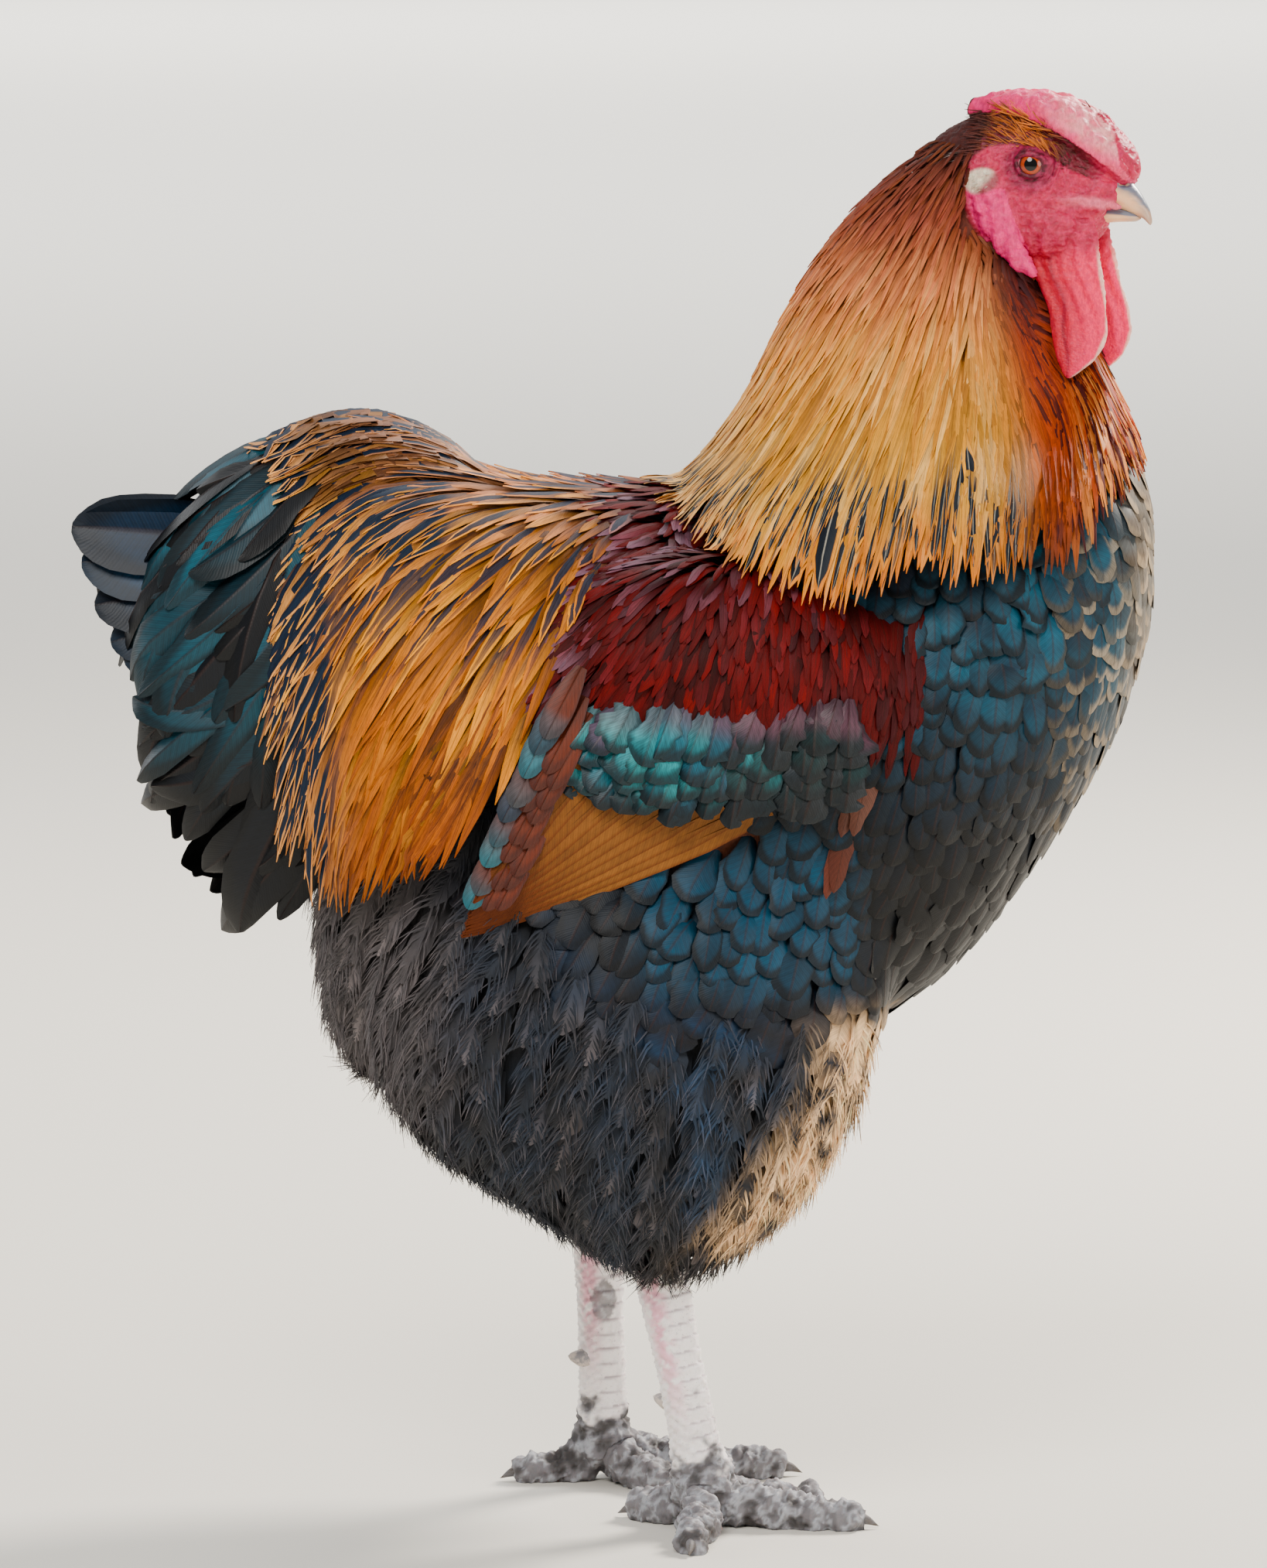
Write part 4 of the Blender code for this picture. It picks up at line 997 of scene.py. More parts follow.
neck_mesh = grid_mesh("neck", upright(NECK))
saddle_mesh = grid_mesh("saddle", lengthwise(SADDLE))
saddle_core_mesh = grid_mesh("saddle_core", lengthwise(SADDLE_CORE))
bow_x, bow_y, bow_z = BOW_CENTRE
bows = [ball_mesh((bow_x, sign * bow_y, bow_z), BOW_RADII, BOW_TURN) for sign in SIDES.values()]
trunk = from_nodes("torso", "thigh_right", "thigh_left", "rump")
body_mesh = fused("body", trunk + [neck_mesh, saddle_core_mesh], FORM_VOXEL, 14)
mantle_mesh = fused("mantle", from_nodes("torso") + bows + [saddle_mesh], FORM_VOXEL, 8)

CAPE_FORM = tree_of(grid_mesh("cape", upright(CAPE)))
SADDLE_FORM = tree_of(saddle_mesh)
COVERTS_FORM = tree_of(grid_mesh("coverts", lengthwise(COVERTS)))
BODY_FORM = tree_of(body_mesh)
MANTLE_FORM = tree_of(mantle_mesh)
BOW_FORMS = {side: tree_of(bow) for side, bow in zip(SIDES, bows)}
FLIGHT_ROOMS = {side: tree_of(slab(FLIGHT_ROOM, side)) for side in SIDES}
BAR_ROOMS = {side: tree_of(slab(BAR_ROOM, side)) for side in SIDES}


def depth_in(form, point):
    """How far a point lies under a form's surface. It is negative outside."""
    found, normal = form.find_nearest(Vector(point))[:2]
    return -(Vector(point) - found).dot(normal)


def away_from(x, y, z):
    """The direction of feathers that spread from one point, away from the middle plane for y above 0."""

    def flow(place):
        return place - Vector((x, math.copysign(y, place.y), z))

    return flow


def course(guide, start, flow, length, rise, sway, walls=()):
    """The middle line of a feather over a form, and its outward directions.

    The feather turns from the flow by the first angle of sway at its root, and by the second at its tip.
    """
    place, out = guide.find_nearest(Vector(start))[:2]
    points, outs = [], []
    for i in range(STEPS + 1):
        point = place + out * float(rise[i])
        for wall in walls if i > 1 else ():
            found, normal = wall.find_nearest(point)[:2]
            if (point - found).dot(normal) < WALL_ROOM:
                point = found + normal * WALL_ROOM
        points.append(point)
        outs.append(out)
        way = flow(place)
        ahead = (way - out * way.dot(out)).normalized()
        turn = sway[0] + (sway[1] - sway[0]) * i / STEPS
        ahead = ahead * math.cos(turn) + out.cross(ahead) * math.sin(turn)
        place, normal = guide.find_nearest(place + ahead * (length / STEPS))[:2]
        out = (out + normal).normalized()
    return np.array(points), np.array(outs)


def lie(rng, root, tip, spread):
    """Heights over the form along a feather, from its root in the skin to its tip."""
    share = np.linspace(0, 1, STEPS + 1)
    lift = rng.uniform(0, spread)
    return np.interp(share, (0, 0.25, 0.5, 1), (root, root * 0.3, 0.0, tip)) + lift * np.minimum(share * 3, 1)


def trimmed(line, outs, fringe):
    """The part of a feather above the line where its group ends, spaced evenly again, or None."""
    above = line[:, 2] - table(fringe, line[:, 0])
    low = np.nonzero(above < 0)[0]
    if len(low) == 0:
        return line, outs
    k = low[0]
    if k < 2:
        return None, None
    end = k - 1 + above[k - 1] / (above[k - 1] - above[k])
    shares = np.linspace(0, end / (len(line) - 1), len(line))
    return resampled(line[None], shares)[0], resampled(outs[None], shares)[0]


def lay(coat, rng, guide, start, flow, length, half, walls=(), root=-0.004, tip=0.001, spread=0.0012,
        sway=(0.08, 0.08), tilt=0.10, fringe=None, bend=None):
    """Adds a feather that runs over a guide form, with its own small turns and tilt."""
    rise = lie(rng, root, tip, spread)
    line, outs = course(guide, start, flow, length, rise, rng.normal(0, 1, 2) * sway, walls)
    line = bend(line) if bend else line
    if fringe is not None:
        line, outs = trimmed(line, outs, fringe)
    if line is not None:
        coat.add(line, outs, half, rng.normal(0, tilt))


def at_fringe(fringe, slack):
    return [(x, z + slack) for x, z in fringe]


def resampled(lines, shares):
    """Values at shares along evenly spaced rows. The first axis counts the feathers."""
    at = np.asarray(shares) * (lines.shape[1] - 1)
    low = np.minimum(at.astype(int), lines.shape[1] - 2)
    part = (at - low)[None, :, None]
    return lines[:, low] * (1 - part) + lines[:, low + 1] * part


def solid_mesh(name, points, quads, triangles):
    mesh = bpy.data.meshes.new(name)
    mesh.vertices.add(len(points))
    mesh.vertices.foreach_set("co", points.astype(np.float32).ravel())
    mesh.loops.add(quads.size + triangles.size)
    corners = np.concatenate([quads.ravel(), triangles.ravel()])
    mesh.loops.foreach_set("vertex_index", corners.astype(np.int32))
    mesh.polygons.add(len(quads) + len(triangles))
    starts = [np.arange(len(quads)) * 4, quads.size + np.arange(len(triangles)) * 3]
    mesh.polygons.foreach_set("loop_start", np.concatenate(starts).astype(np.int32))
    mesh.update(calc_edges=True)
    mesh.shade_smooth()
    return mesh


def paint(mesh, name, values):
    """Stores a colour with alpha for each vertex."""
    layer = mesh.attributes.new(name, "FLOAT_COLOR", "POINT")
    layer.data.foreach_set("color", np.ascontiguousarray(values, np.float32).ravel())


# The unwrap: how far round and along the body a point lies.
SPINE = np.array(
    (
        (-0.20, 0, 0.33),
        (-0.10, 0, 0.30),
        (0.05, 0, 0.27),
        (0.12, 0, 0.30),
        (0.12, 0, 0.40),
        (0.13, 0, 0.48),
        (0.20, 0, 0.48),
    )
)


def unwrapped(points):
    """Where points lie on an unwrap of the bird's skin, as arrays of u and v."""
    starts, ends = SPINE[:-1], SPINE[1:]
    spans = ends - starts
    lengths = np.linalg.norm(spans, axis=1)
    before = np.concatenate([[0], np.cumsum(lengths)[:-1]])
    ways = spans / lengths[:, None]
    best = np.full(len(points), np.inf)
    u, v = np.zeros(len(points)), np.zeros(len(points))
    for start, way, length, passed in zip(starts, ways, lengths, before):
        along = np.clip((points - start) @ way, 0, length)
        off = points - start - along[:, None] * way
        distance = np.linalg.norm(off, axis=1)
        nearer = distance < best
        up = np.array((-way[2], 0, way[0]))
        turn = np.arctan2(off[:, 1], off @ up) / (2 * math.pi) + 0.5
        best = np.where(nearer, distance, best)
        u = np.where(nearer, (passed + along) / lengths.sum(), u)
        v = np.where(nearer, turn, v)
    return 0.01 + 0.98 * u, 0.01 + 0.98 * v


def add_uv(mesh, uv):
    layer = mesh.uv_layers.new(name="OFBake")
    index = np.empty(len(mesh.loops), np.int32)
    mesh.loops.foreach_get("vertex_index", index)
    layer.data.foreach_set("uv", uv[index].astype(np.float32).ravel())


def piece(name, mesh, material, slot, *replaced):
    """A visible piece that rides on the bird and stands for the named nodes."""
    made = linked(name, mesh)
    mesh.materials.clear()
    mesh.materials.append(MATERIALS[material])
    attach(made, "root")
    if replaced:
        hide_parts(*replaced)


# Sections across a feather, as (share across, height in thicknesses).
LANCE_SECTION = np.array(((-1, 0), (0, 1), (1, 0), (0, -1)), float)
VANE_SECTION = np.array(((-1, 0), (-0.5, 0.8), (0, 1.2), (0.5, 0.8), (1, 0), (0, -0.8)), float)
BROAD_SECTION = np.array(
    ((-1, 0), (-0.6, 0.7), (-0.12, 0.8), (0, 2.0), (0.12, 0.8), (0.6, 0.7), (1, 0), (0, -0.8)), float
)
BARB_SECTION = np.array(((-1, 0), (0, 1), (1, 0)), float)
# Half widths along a feather, as (share of the length, share of the width).
LANCET = ((0, 0.50), (0.25, 0.95), (0.45, 1.00), (0.70, 0.78), (0.88, 0.42), (1, 0.05))
DISPLAY = ((0, 0.25), (0.35, 0.50), (0.60, 0.92), (0.74, 1.00), (0.86, 0.74), (0.95, 0.34), (1, 0.05))
ROUNDED = ((0, 0.40), (0.25, 0.80), (0.55, 1.00), (0.80, 0.95), (0.92, 0.70), (0.98, 0.36), (1, 0.10))
BROAD = (
    (0, 0.25), (0.20, 0.60), (0.50, 0.95), (0.70, 1.00), (0.84, 0.88), (0.93, 0.64), (0.98, 0.36), (1, 0.12),
)
POINTED = ((0, 0.45), (0.25, 0.85), (0.50, 1.00), (0.75, 0.84), (0.90, 0.52), (0.97, 0.26), (1, 0.06))
BLADE = ((0, 0.60), (0.20, 1.00), (0.55, 0.95), (0.75, 0.74), (0.88, 0.50), (0.96, 0.28), (1, 0.10))
HAIR = ((0, 1.00), (0.5, 0.80), (1, 0.06))
# The most triangles in one piece, and the width of a feather's patch on the unwrap.
MAX_FACES = 180000
PATCH = 0.003


class Coat:
    """Feathers of one kind. Each is a closed mesh with a lens-like section, swept along its middle line."""

    def __init__(self, section, outline, shares, thickness, camber, seed, ragged=0.06):
        self.section, self.outline, self.shares = section, outline, np.array(shares, float)
        self.thickness, self.camber, self.ragged = thickness, camber, ragged
        self.rng = np.random.default_rng(seed)
        self.lines, self.outs, self.halves, self.tilts = [], [], [], []

    def add(self, line, outs, half, tilt=0.0):
        self.lines.append(line)
        self.outs.append(outs)
        self.halves.append(half)
        self.tilts.append(tilt)

    def build(self, name, material, slot, tint_of, mark_of, replaced=()):
        """Makes the pieces. Colours come from the middle lines, a row of shares and a column of luck."""
        lines, outs = np.array(self.lines), np.array(self.outs)
        count, steps, across = len(lines), len(self.shares), len(self.section)
        luck = self.rng.random(count)
        lengths = np.linalg.norm(np.diff(lines, axis=1), axis=2).sum(1)
        points, outs = resampled(lines, self.shares), unit(resampled(outs, self.shares))
        ahead = unit(np.gradient(points, axis=1))
        side = unit(np.cross(ahead, outs))
        up = np.cross(side, ahead)
        tilt = np.array(self.tilts)[:, None, None]
        side, up = side * np.cos(tilt) + up * np.sin(tilt), up * np.cos(tilt) - side * np.sin(tilt)
        width = np.array(self.halves)[:, None] * table(self.outline, self.shares)
        offsets, heights = self.section.T
        uneven = 1 + self.ragged * self.rng.normal(size=(count, steps, across)) * np.abs(offsets)
        reach = width[:, :, None] * offsets * uneven
        sag = self.camber * width[:, :, None] * offsets**2
        rise = heights * self.thickness * np.linspace(1, 0.35, steps)[None, :, None] - sag
        places = points[:, :, None] + side[:, :, None] * reach[..., None] + up[:, :, None] * rise[..., None]
        tints = tint_of(points, self.shares[None], luck[:, None])
        marks = mark_of(points, self.shares[None], luck[:, None])
        shape = (count, steps, across, 4)
        info = np.empty(shape)
        info[..., 0] = (offsets + 1) / 2
        info[..., 1] = self.shares[None, :, None]
        info[..., 2] = luck[:, None, None]
        info[..., 3] = lengths[:, None, None] * 10
        tint = np.ones(shape)
        tint[..., :3] = tints[:, :, None]
        mark = np.broadcast_to(marks[:, :, None], shape)
        u, v = unwrapped(lines[:, 0])
        uv = np.stack([u[:, None, None] + PATCH * info[..., 0], v[:, None, None] + PATCH * info[..., 1]], -1)
        quads, triangles = self.faces(steps, across)
        per_feather = 2 * len(quads) + len(triangles)
        chunks = max(1, math.ceil(count * per_feather / MAX_FACES))
        for k, chosen in enumerate(np.array_split(np.arange(count), chunks)):
            shift = (np.arange(len(chosen)) * steps * across)[:, None, None]
            mesh = solid_mesh(
                name,
                places[chosen].reshape(-1, 3),
                (quads[None] + shift).reshape(-1, 4),
                (triangles[None] + shift).reshape(-1, 3),
            )
            paint(mesh, "tint", tint[chosen].reshape(-1, 4))
            paint(mesh, "mark", mark[chosen].reshape(-1, 4))
            paint(mesh, "place", info[chosen].reshape(-1, 4))
            add_uv(mesh, uv[chosen].reshape(-1, 2))
            mesh.set_sharp_from_angle(angle=SHARP)
            label = name if chunks == 1 else f"{name}_{k + 1}"
            piece(label, mesh, material, slot, *(replaced if k == 0 else ()))

    @staticmethod
    def faces(steps, across):
        index = np.arange(steps * across).reshape(steps, across)
        ahead = np.roll(index, -1, axis=1)
        quads = np.stack([index[:-1], ahead[:-1], ahead[1:], index[1:]], -1).reshape(-1, 4)
        fan = np.array([(0, k, k + 1) for k in range(1, across - 1)])
        return quads, np.concatenate([index[0][fan[:, ::-1]], index[-1][fan]])


def root_shade_and_tone(colours, shares, luck, dark, spread, full=0.45):
    """Darkens the roots as painted shade where the feathers overlap, and makes each feather a little lighter
    or darker than its neighbours.
    """
    light = (dark + (1 - dark) * ramp(shares, full - 0.45, full))[..., None]
    return np.clip(colours * light * (1 + spread * (2 * luck - 1))[..., None], 0, 1)


def stops(rows, value):
    """A colour between the given stops, as rows of (position, colour)."""
    rows = sorted(rows, key=lambda row: row[0])
    at = [row[0] for row in rows]
    channels = [np.interp(value, at, [row[1][k] for row in rows]) for k in range(3)]
    return np.stack(channels, -1)


def with_strength(colours, strength):
    found = np.empty((*strength.shape, 4))
    found[..., :3] = colours
    found[..., 3] = strength
    return found


def even_mark(values, strength):
    """A mark that is the same on every feather."""

    def found(points, shares, luck):
        return with_strength(values, np.full(points.shape[:2], strength))

    return found


display_mark = even_mark(SLATE, 1.0)
bar_mark = even_mark(rgb(14, 30, 36), 0.75)
flight_mark = even_mark(rgb(104, 52, 30), 0.60)
tertial_mark = even_mark(rgb(34, 28, 32), 0.45)
tail_mark = even_mark(rgb(10, 12, 15), 0.7)
no_mark = even_mark(INK, 0.0)


def point_tree(points):
    tree = kdtree.KDTree(len(points))
    for i, point in enumerate(points):
        tree.insert(point, i)
    tree.balance()
    return tree


def sparse(points, gaps):
    """Some of the points, none closer to another than its gap. Those with an endless gap are left out."""
    tree = point_tree(points)
    free = np.isfinite(gaps)
    kept = []
    for i, point in enumerate(points):
        if free[i]:
            kept.append(point)
            for _, j, _ in tree.find_range(point, gaps[i]):
                free[j] = False
    return np.array(kept)


def spread_over(mesh, spacing, rng):
    """Points on a mesh, none closer to another than the spacing at its place."""
    mesh.calc_loop_triangles()
    corners = np.empty(len(mesh.loop_triangles) * 3, np.int32)
    mesh.loop_triangles.foreach_get("vertices", corners)
    triangles = coordinates(mesh)[corners.reshape(-1, 3)]
    edges = triangles[:, 1:] - triangles[:, :1]
    areas = np.linalg.norm(np.cross(edges[:, 0], edges[:, 1]), axis=1)
    least = spacing(triangles.mean(1)).min()
    count = int(DENSITY * areas.sum() / 2 / least**2)
    chosen = rng.choice(len(triangles), count, p=areas / areas.sum())
    a, b = rng.random((2, count, 1))
    a, b = np.where(a + b > 1, 1 - a, a), np.where(a + b > 1, 1 - b, b)
    points = triangles[chosen, 0] + a * edges[chosen, 0] + b * edges[chosen, 1]
    return sparse(points, spacing(points))


# Hackle.
def bare_face(point, margin):
    """Whether a point lies where the face, ears, lobes and wattles are, or less than a margin behind."""
    x, _, z = to_head(np.array(point))
    return z > 0.438 and x > table(FACE_EDGE, z) - margin


def hackle_turns(z):
    """The middle x, the half depth and the half width of the cape at this height."""
    back, front, half = columns(CAPE, z)
    return (back + front) / 2, (front - back) / 2, half


def hackle_tint(points, shares, luck):
    z = points[..., 2] + 0.012 * (luck - 0.5)
    middle, deep, _ = hackle_turns(points[..., 2])
    front = ramp((points[..., 0] - middle) / deep, 0.22, 0.58)
    side, ahead = stops(HACKLE_SIDE, z), stops(HACKLE_FRONT, z)
    other = (luck * 7.31) % 1.0
    pale = ramp(other, 0.55, 0.95) * ramp(points[..., 2], 0.48, 0.39)
    side = blend(side, rgb(236, 200, 150), pale * 0.50)
    fringe = ramp(points[..., 0], 0.060, 0.020) * ramp(points[..., 2], 0.440, 0.390)
    side = blend(side, rgb(232, 206, 166), fringe * 0.5)
    low = ramp(points[..., 0], 0.070, 0.100) * ramp(points[..., 2], 0.390, 0.360)
    side = blend(side, rgb(150, 88, 36), low * 0.45)
    brown = ramp(other, 0.40, 0.10)
    side = blend(side, rgb(140, 82, 52), brown * 0.45)
    ahead = blend(ahead, rgb(74, 34, 40), brown * 0.90)
    # Painted rim light: pale cream on some feathers at the front edge of the lower neck.
    edge = ramp(points[..., 0], 0.160, 0.176) * ramp(points[..., 2], 0.440, 0.425)
    ahead = blend(ahead, rgb(216, 150, 104), edge * ramp(other, 0.45, 0.60) * 0.8)
    mixed = blend(side, ahead, front)
    tip = ramp(shares, 0.70, 1.0) * ramp(points[..., 2], 0.39, 0.35) * 0.6
    mixed = blend(mixed, rgb(208, 122, 40), tip * (1 - front))
    return root_shade_and_tone(mixed, shares, luck, dark=0.66, full=0.85, spread=0.15)


def hackle_mark(points, shares, luck):
    low = ramp(points[..., 2], 0.396, 0.366) * ramp(points[..., 0], 0.158, 0.130)
    return with_strength(SLATE, low * ramp(luck, 0.50, 0.30) * 0.95)


def display_tint(points, shares, luck):
    return root_shade_and_tone(stops(DISPLAY_STOPS, points[..., 2]), shares, luck, dark=0.7, spread=0.14)


def tucked(points, room=0.0):
    """Points of the neck, pressed in behind the wattles and the earlobes."""
    places = to_head(points)
    x, y, z = places.T
    least = np.full(len(x), 1.0)
    for leaf, high, low in ((WATTLE, 0.0062, 0.0100), (LOBE, 0.0140, 0.0150)):
        lowest, highest = leaf[-1][0], leaf[0][0]
        back = columns(leaf, z)[0]
        level = ramp(z, lowest - 0.060, lowest + 0.002)
        inner = np.interp(z, (lowest, highest), (low, high)) - room
        least = np.minimum(least, inner + 1.8 * np.clip(back - 0.001 - x, 0, 1) + 0.06 * (1 - level))
    places[:, 1] = np.clip(y, -least, least)
    return from_head(places)


def build_hackle():
    rng = np.random.default_rng(11)
    coat = Coat(LANCE_SECTION, LANCET, HACKLE_SHARES, 0.0006, 0.10, seed=12)
    shown = Coat(VANE_SECTION, DISPLAY, HACKLE_SHARES, 0.0006, 0.10, seed=13)
    flow = away_from(*HACKLE_SOURCE)
    walls = [BODY_FORM, MANTLE_FORM]
    for row, z in enumerate(np.arange(*HACKLE_ROWS)):
        middle, deep, half = hackle_turns(z)
        count = int(math.pi * (deep + half) / table(HACKLE_PITCH, z))
        for k in range(count):
            turn = 2 * math.pi * (k + 0.5 * (row % 2) + rng.uniform(-0.3, 0.3)) / count
            ahead = math.cos(turn)
            start = (middle + deep * ahead, half * math.sin(turn), z + rng.uniform(-0.002, 0.002))
            length = table(HACKLE_LENGTH, z) * table(HACKLE_REACH, ahead) * rng.uniform(0.88, 1.08)
            width = table(HACKLE_HALF, z) * rng.uniform(0.80, 1.15)
            if bare_face(start, 0.001 if z > 0.470 else -0.010):
                continue
            root = -0.012 if bare_face(start, 0.002) else -0.004
            fringe = at_fringe(HACKLE_FRINGE, rng.uniform(-0.005, 0.020))
            lay(coat, rng, CAPE_FORM, start, flow, length, width, walls, root, spread=0.0016,
                sway=(0.05, 0.10), fringe=fringe, bend=tucked)
    for sign in SIDES.values():
        others = [(rng.uniform(0.030, 0.128), rng.uniform(0.004, 0.034), 0.0030) for _ in range(MORE_DISPLAY)]
        for x, slack, width in (*DISPLAY_FEATHERS, *others):
            z = rng.uniform(0.385, 0.405)
            middle, deep, half = hackle_turns(z)
            start = (x, sign * half * math.sqrt(max(0.05, 1 - ((x - middle) / deep) ** 2)), z)
            fringe = at_fringe(HACKLE_FRINGE, slack)
            lay(shown, rng, CAPE_FORM, start, flow, 0.090, width, walls, -0.001, 0.0052, fringe=fringe)
    coat.build("hackle", "hackle", "hackle_feathers", hackle_tint, hackle_mark, ("neck",))
    shown.build("hackle_display", "hackle", "hackle_feathers", display_tint, display_mark)


# Saddle.
def saddle_tint(points, shares, luck):
    low = (0.384 - points[..., 2]) / 0.16 + 0.16 * (luck - 0.5)
    rear = ramp(points[..., 0], -0.086, -0.120)
    base = stops(SADDLE_STOPS, low)
    base = blend(base, rgb(226, 172, 126), rear * 0.8)
    other = (luck * 5.17) % 1.0
    base = blend(base, rgb(232, 172, 80), ramp(other, 0.60, 0.94) * ramp(low, 1.00, 0.50) * 0.55)
    base = blend(base, rgb(126, 66, 22), ramp(other, 0.30, 0.08) * 0.50)
    back = ramp(points[..., 0], -0.030, 0.004) * ramp(points[..., 2], 0.335, 0.355)
    base = blend(base, rgb(112, 44, 40), back * 0.75)
    # Painted lilac sheen on some feathers of the back.
    base = blend(base, LILAC_SHEEN, back * ramp(luck, 0.55, 0.75) * 0.5)
    return root_shade_and_tone(base, shares, luck, dark=0.24, full=0.88, spread=0.20)


def saddle_mark(points, shares, luck):
    """Dark stripes on the rump's crest, at the rear, and on some feathers of the middle."""
    x, z = points[..., 0], points[..., 2]
    crest = ramp(z, 0.338, 0.362) * ramp(x, -0.046, -0.070)
    rear = ramp(x, -0.086, -0.108)
    upper = ramp(z, 0.290, 0.335) * ramp(luck, 0.40, 0.62)
    strength = np.maximum(np.maximum(crest, rear * 0.8) * ramp(luck, 0.10, 0.30), upper * 0.6)
    return with_strength(rgb(40, 52, 70), np.maximum(strength, 0.06))


def build_saddle():
    rng = np.random.default_rng(23)
    coat = Coat(LANCE_SECTION, LANCET, SADDLE_SHARES, 0.0007, 0.30, seed=24)
    flow = away_from(*SADDLE_SOURCE)
    for side, sign in SIDES.items():
        walls = [BODY_FORM, BOW_FORMS[side], FLIGHT_ROOMS[side], BAR_ROOMS[side], COVERTS_FORM]
        for degrees in (0.0, *np.arange(1.5, 76, 3.4)):
            for x in np.arange(table(SADDLE_FIRST, degrees), table(SADDLE_LAST, degrees), -SADDLE_GAP):
                x = x + rng.uniform(-0.0015, 0.0015)
                start = on_form(SADDLE, x, math.radians(degrees + rng.uniform(-1.8, 1.8)), sign)
                length = table(SADDLE_REACH, x) * table(SADDLE_SHARE, degrees) * rng.uniform(0.84, 1.06)
                if degrees < SADDLE_TOP:
                    length = min(length, x - SADDLE_END)
                crest = float(ramp(x, -0.050, -0.075)) * float(ramp(degrees, 50, 35))
                width = (0.0028 + 0.0020 * crest) * rng.uniform(0.85, 1.20)
                fringe = at_fringe(SADDLE_FRINGE, rng.uniform(-0.004, 0.016))
                lay(coat, rng, SADDLE_FORM, start, flow, length, width, walls, -0.005, 0.0022, 0.0018,
                    (0.08, 0.13), 0.10, fringe)
    replaced = ("saddle_left", "saddle_right")
    coat.build("saddle", "saddle", "saddle_feathers", saddle_tint, saddle_mark, replaced)


# Back and wing bow.
def bow_tint(points, shares, luck):
    z = points[..., 2]
    other = (luck * 6.43) % 1.0
    base = blend(MAROON, rgb(122, 26, 10), ramp(other, 0.40, 1.0))
    base = blend(base, rgb(58, 8, 8), ramp(other, 0.35, 0.05) * 0.8)
    base = blend(base, rgb(82, 22, 8), ramp(points[..., 0], 0.075, 0.105) * 0.7)
    # Painted lilac sheen: streaks on some feathers, strongest on the bow's upper part and towards the tail.
    high = ramp(z, 0.326, 0.356) * 0.9 + ramp(points[..., 0], 0.004, -0.022) * 0.7
    streak = ramp(luck, 0.42, 0.20) * np.clip(high + 0.04, 0, 1) * ramp(shares, 0.35, 0.9)
    base = blend(base, LILAC_SHEEN, streak * 0.55)
    return root_shade_and_tone(base, shares, luck, dark=0.66, full=0.85, spread=0.14)


def bow_mark(points, shares, luck):
    return with_strength(rgb(44, 8, 12), ramp(luck, 0.35, 0.80) * np.full(points.shape[:2], 0.2))


def build_bow():
    rng = np.random.default_rng(31)
    coat = Coat(LANCE_SECTION, POINTED, VANE_SHARES, 0.0004, 0.12, ragged=0.16, seed=32)

    def flow(place):
        """Down, and towards the tail over the rear of the bow and on the back."""
        return Vector((-0.14 - 0.70 * float(ramp(place.x, 0.050, -0.020)), 0, -1))

    def spacing(points):
        x, z = points[:, 0], points[:, 2]
        inside = (x > table(SADDLE_EDGE, z) + 0.004) & (x < BOW_FRONT) & (z > 0.270)
        return np.where(inside, BOW_GAP, np.inf)

    for start in spread_over(mantle_mesh, spacing, rng):
        if depth_in(CAPE_FORM, start) > 0.022:
            continue
        if start[2] < table(BOW_FLOOR, start[0]) + rng.uniform(-0.004, 0.004):
            continue
        length, width = rng.uniform(0.018, 0.030), rng.uniform(0.0015, 0.0027)
        lay(coat, rng, MANTLE_FORM, start, flow, length, width, sway=(0.10, 0.12), tilt=0.05, spread=0.0008)
    coat.build("bow", "bow", "wing_bow_feathers", bow_tint, bow_mark, ("wing_bow_left", "wing_bow_right"))


# Wing bar and flights.
def straight_line(root, tip, bulge, out):
    share = np.linspace(0, 1, STEPS + 1)[:, None]
    line = root + (tip - root) * share + out * bulge * np.sin(share * math.pi)
    return line, np.repeat(out[None], STEPS + 1, 0)


def bar_tint(points, shares, luck):
    """Teal with dark tips, lower edge and front. The bright teal is partly the feathers' colour and partly
    painted sheen, and the darkening towards each tip is painted shade. How far the dark reaches differs from
    feather to feather.
    """
    other = (luck * 5.73) % 1.0
    base = blend(rgb(84, 158, 160), rgb(26, 86, 104), ramp(luck, 0.0, 0.9))
    # Painted shade: darker towards each feather's tip.
    base = blend(base, rgb(22, 54, 66), ramp(shares, 0.55, 0.95) * 0.8)
    border = ramp(points[..., 2] + 0.010 * (other - 0.5), 0.2800, 0.2660)
    base = blend(base, rgb(22, 28, 32), border * 0.85)
    front = ramp(points[..., 0] + 0.034 * (other - 0.5), 0.026, 0.060)
    base = blend(base, rgb(28, 30, 32), front * 0.94)
    purple = ramp(points[..., 2] + 0.010 * (other - 0.5), 0.2900, 0.2980)
    base = blend(base, rgb(104, 62, 76), purple * 0.6)
    return root_shade_and_tone(base, shares, luck, dark=0.7, spread=0.25)


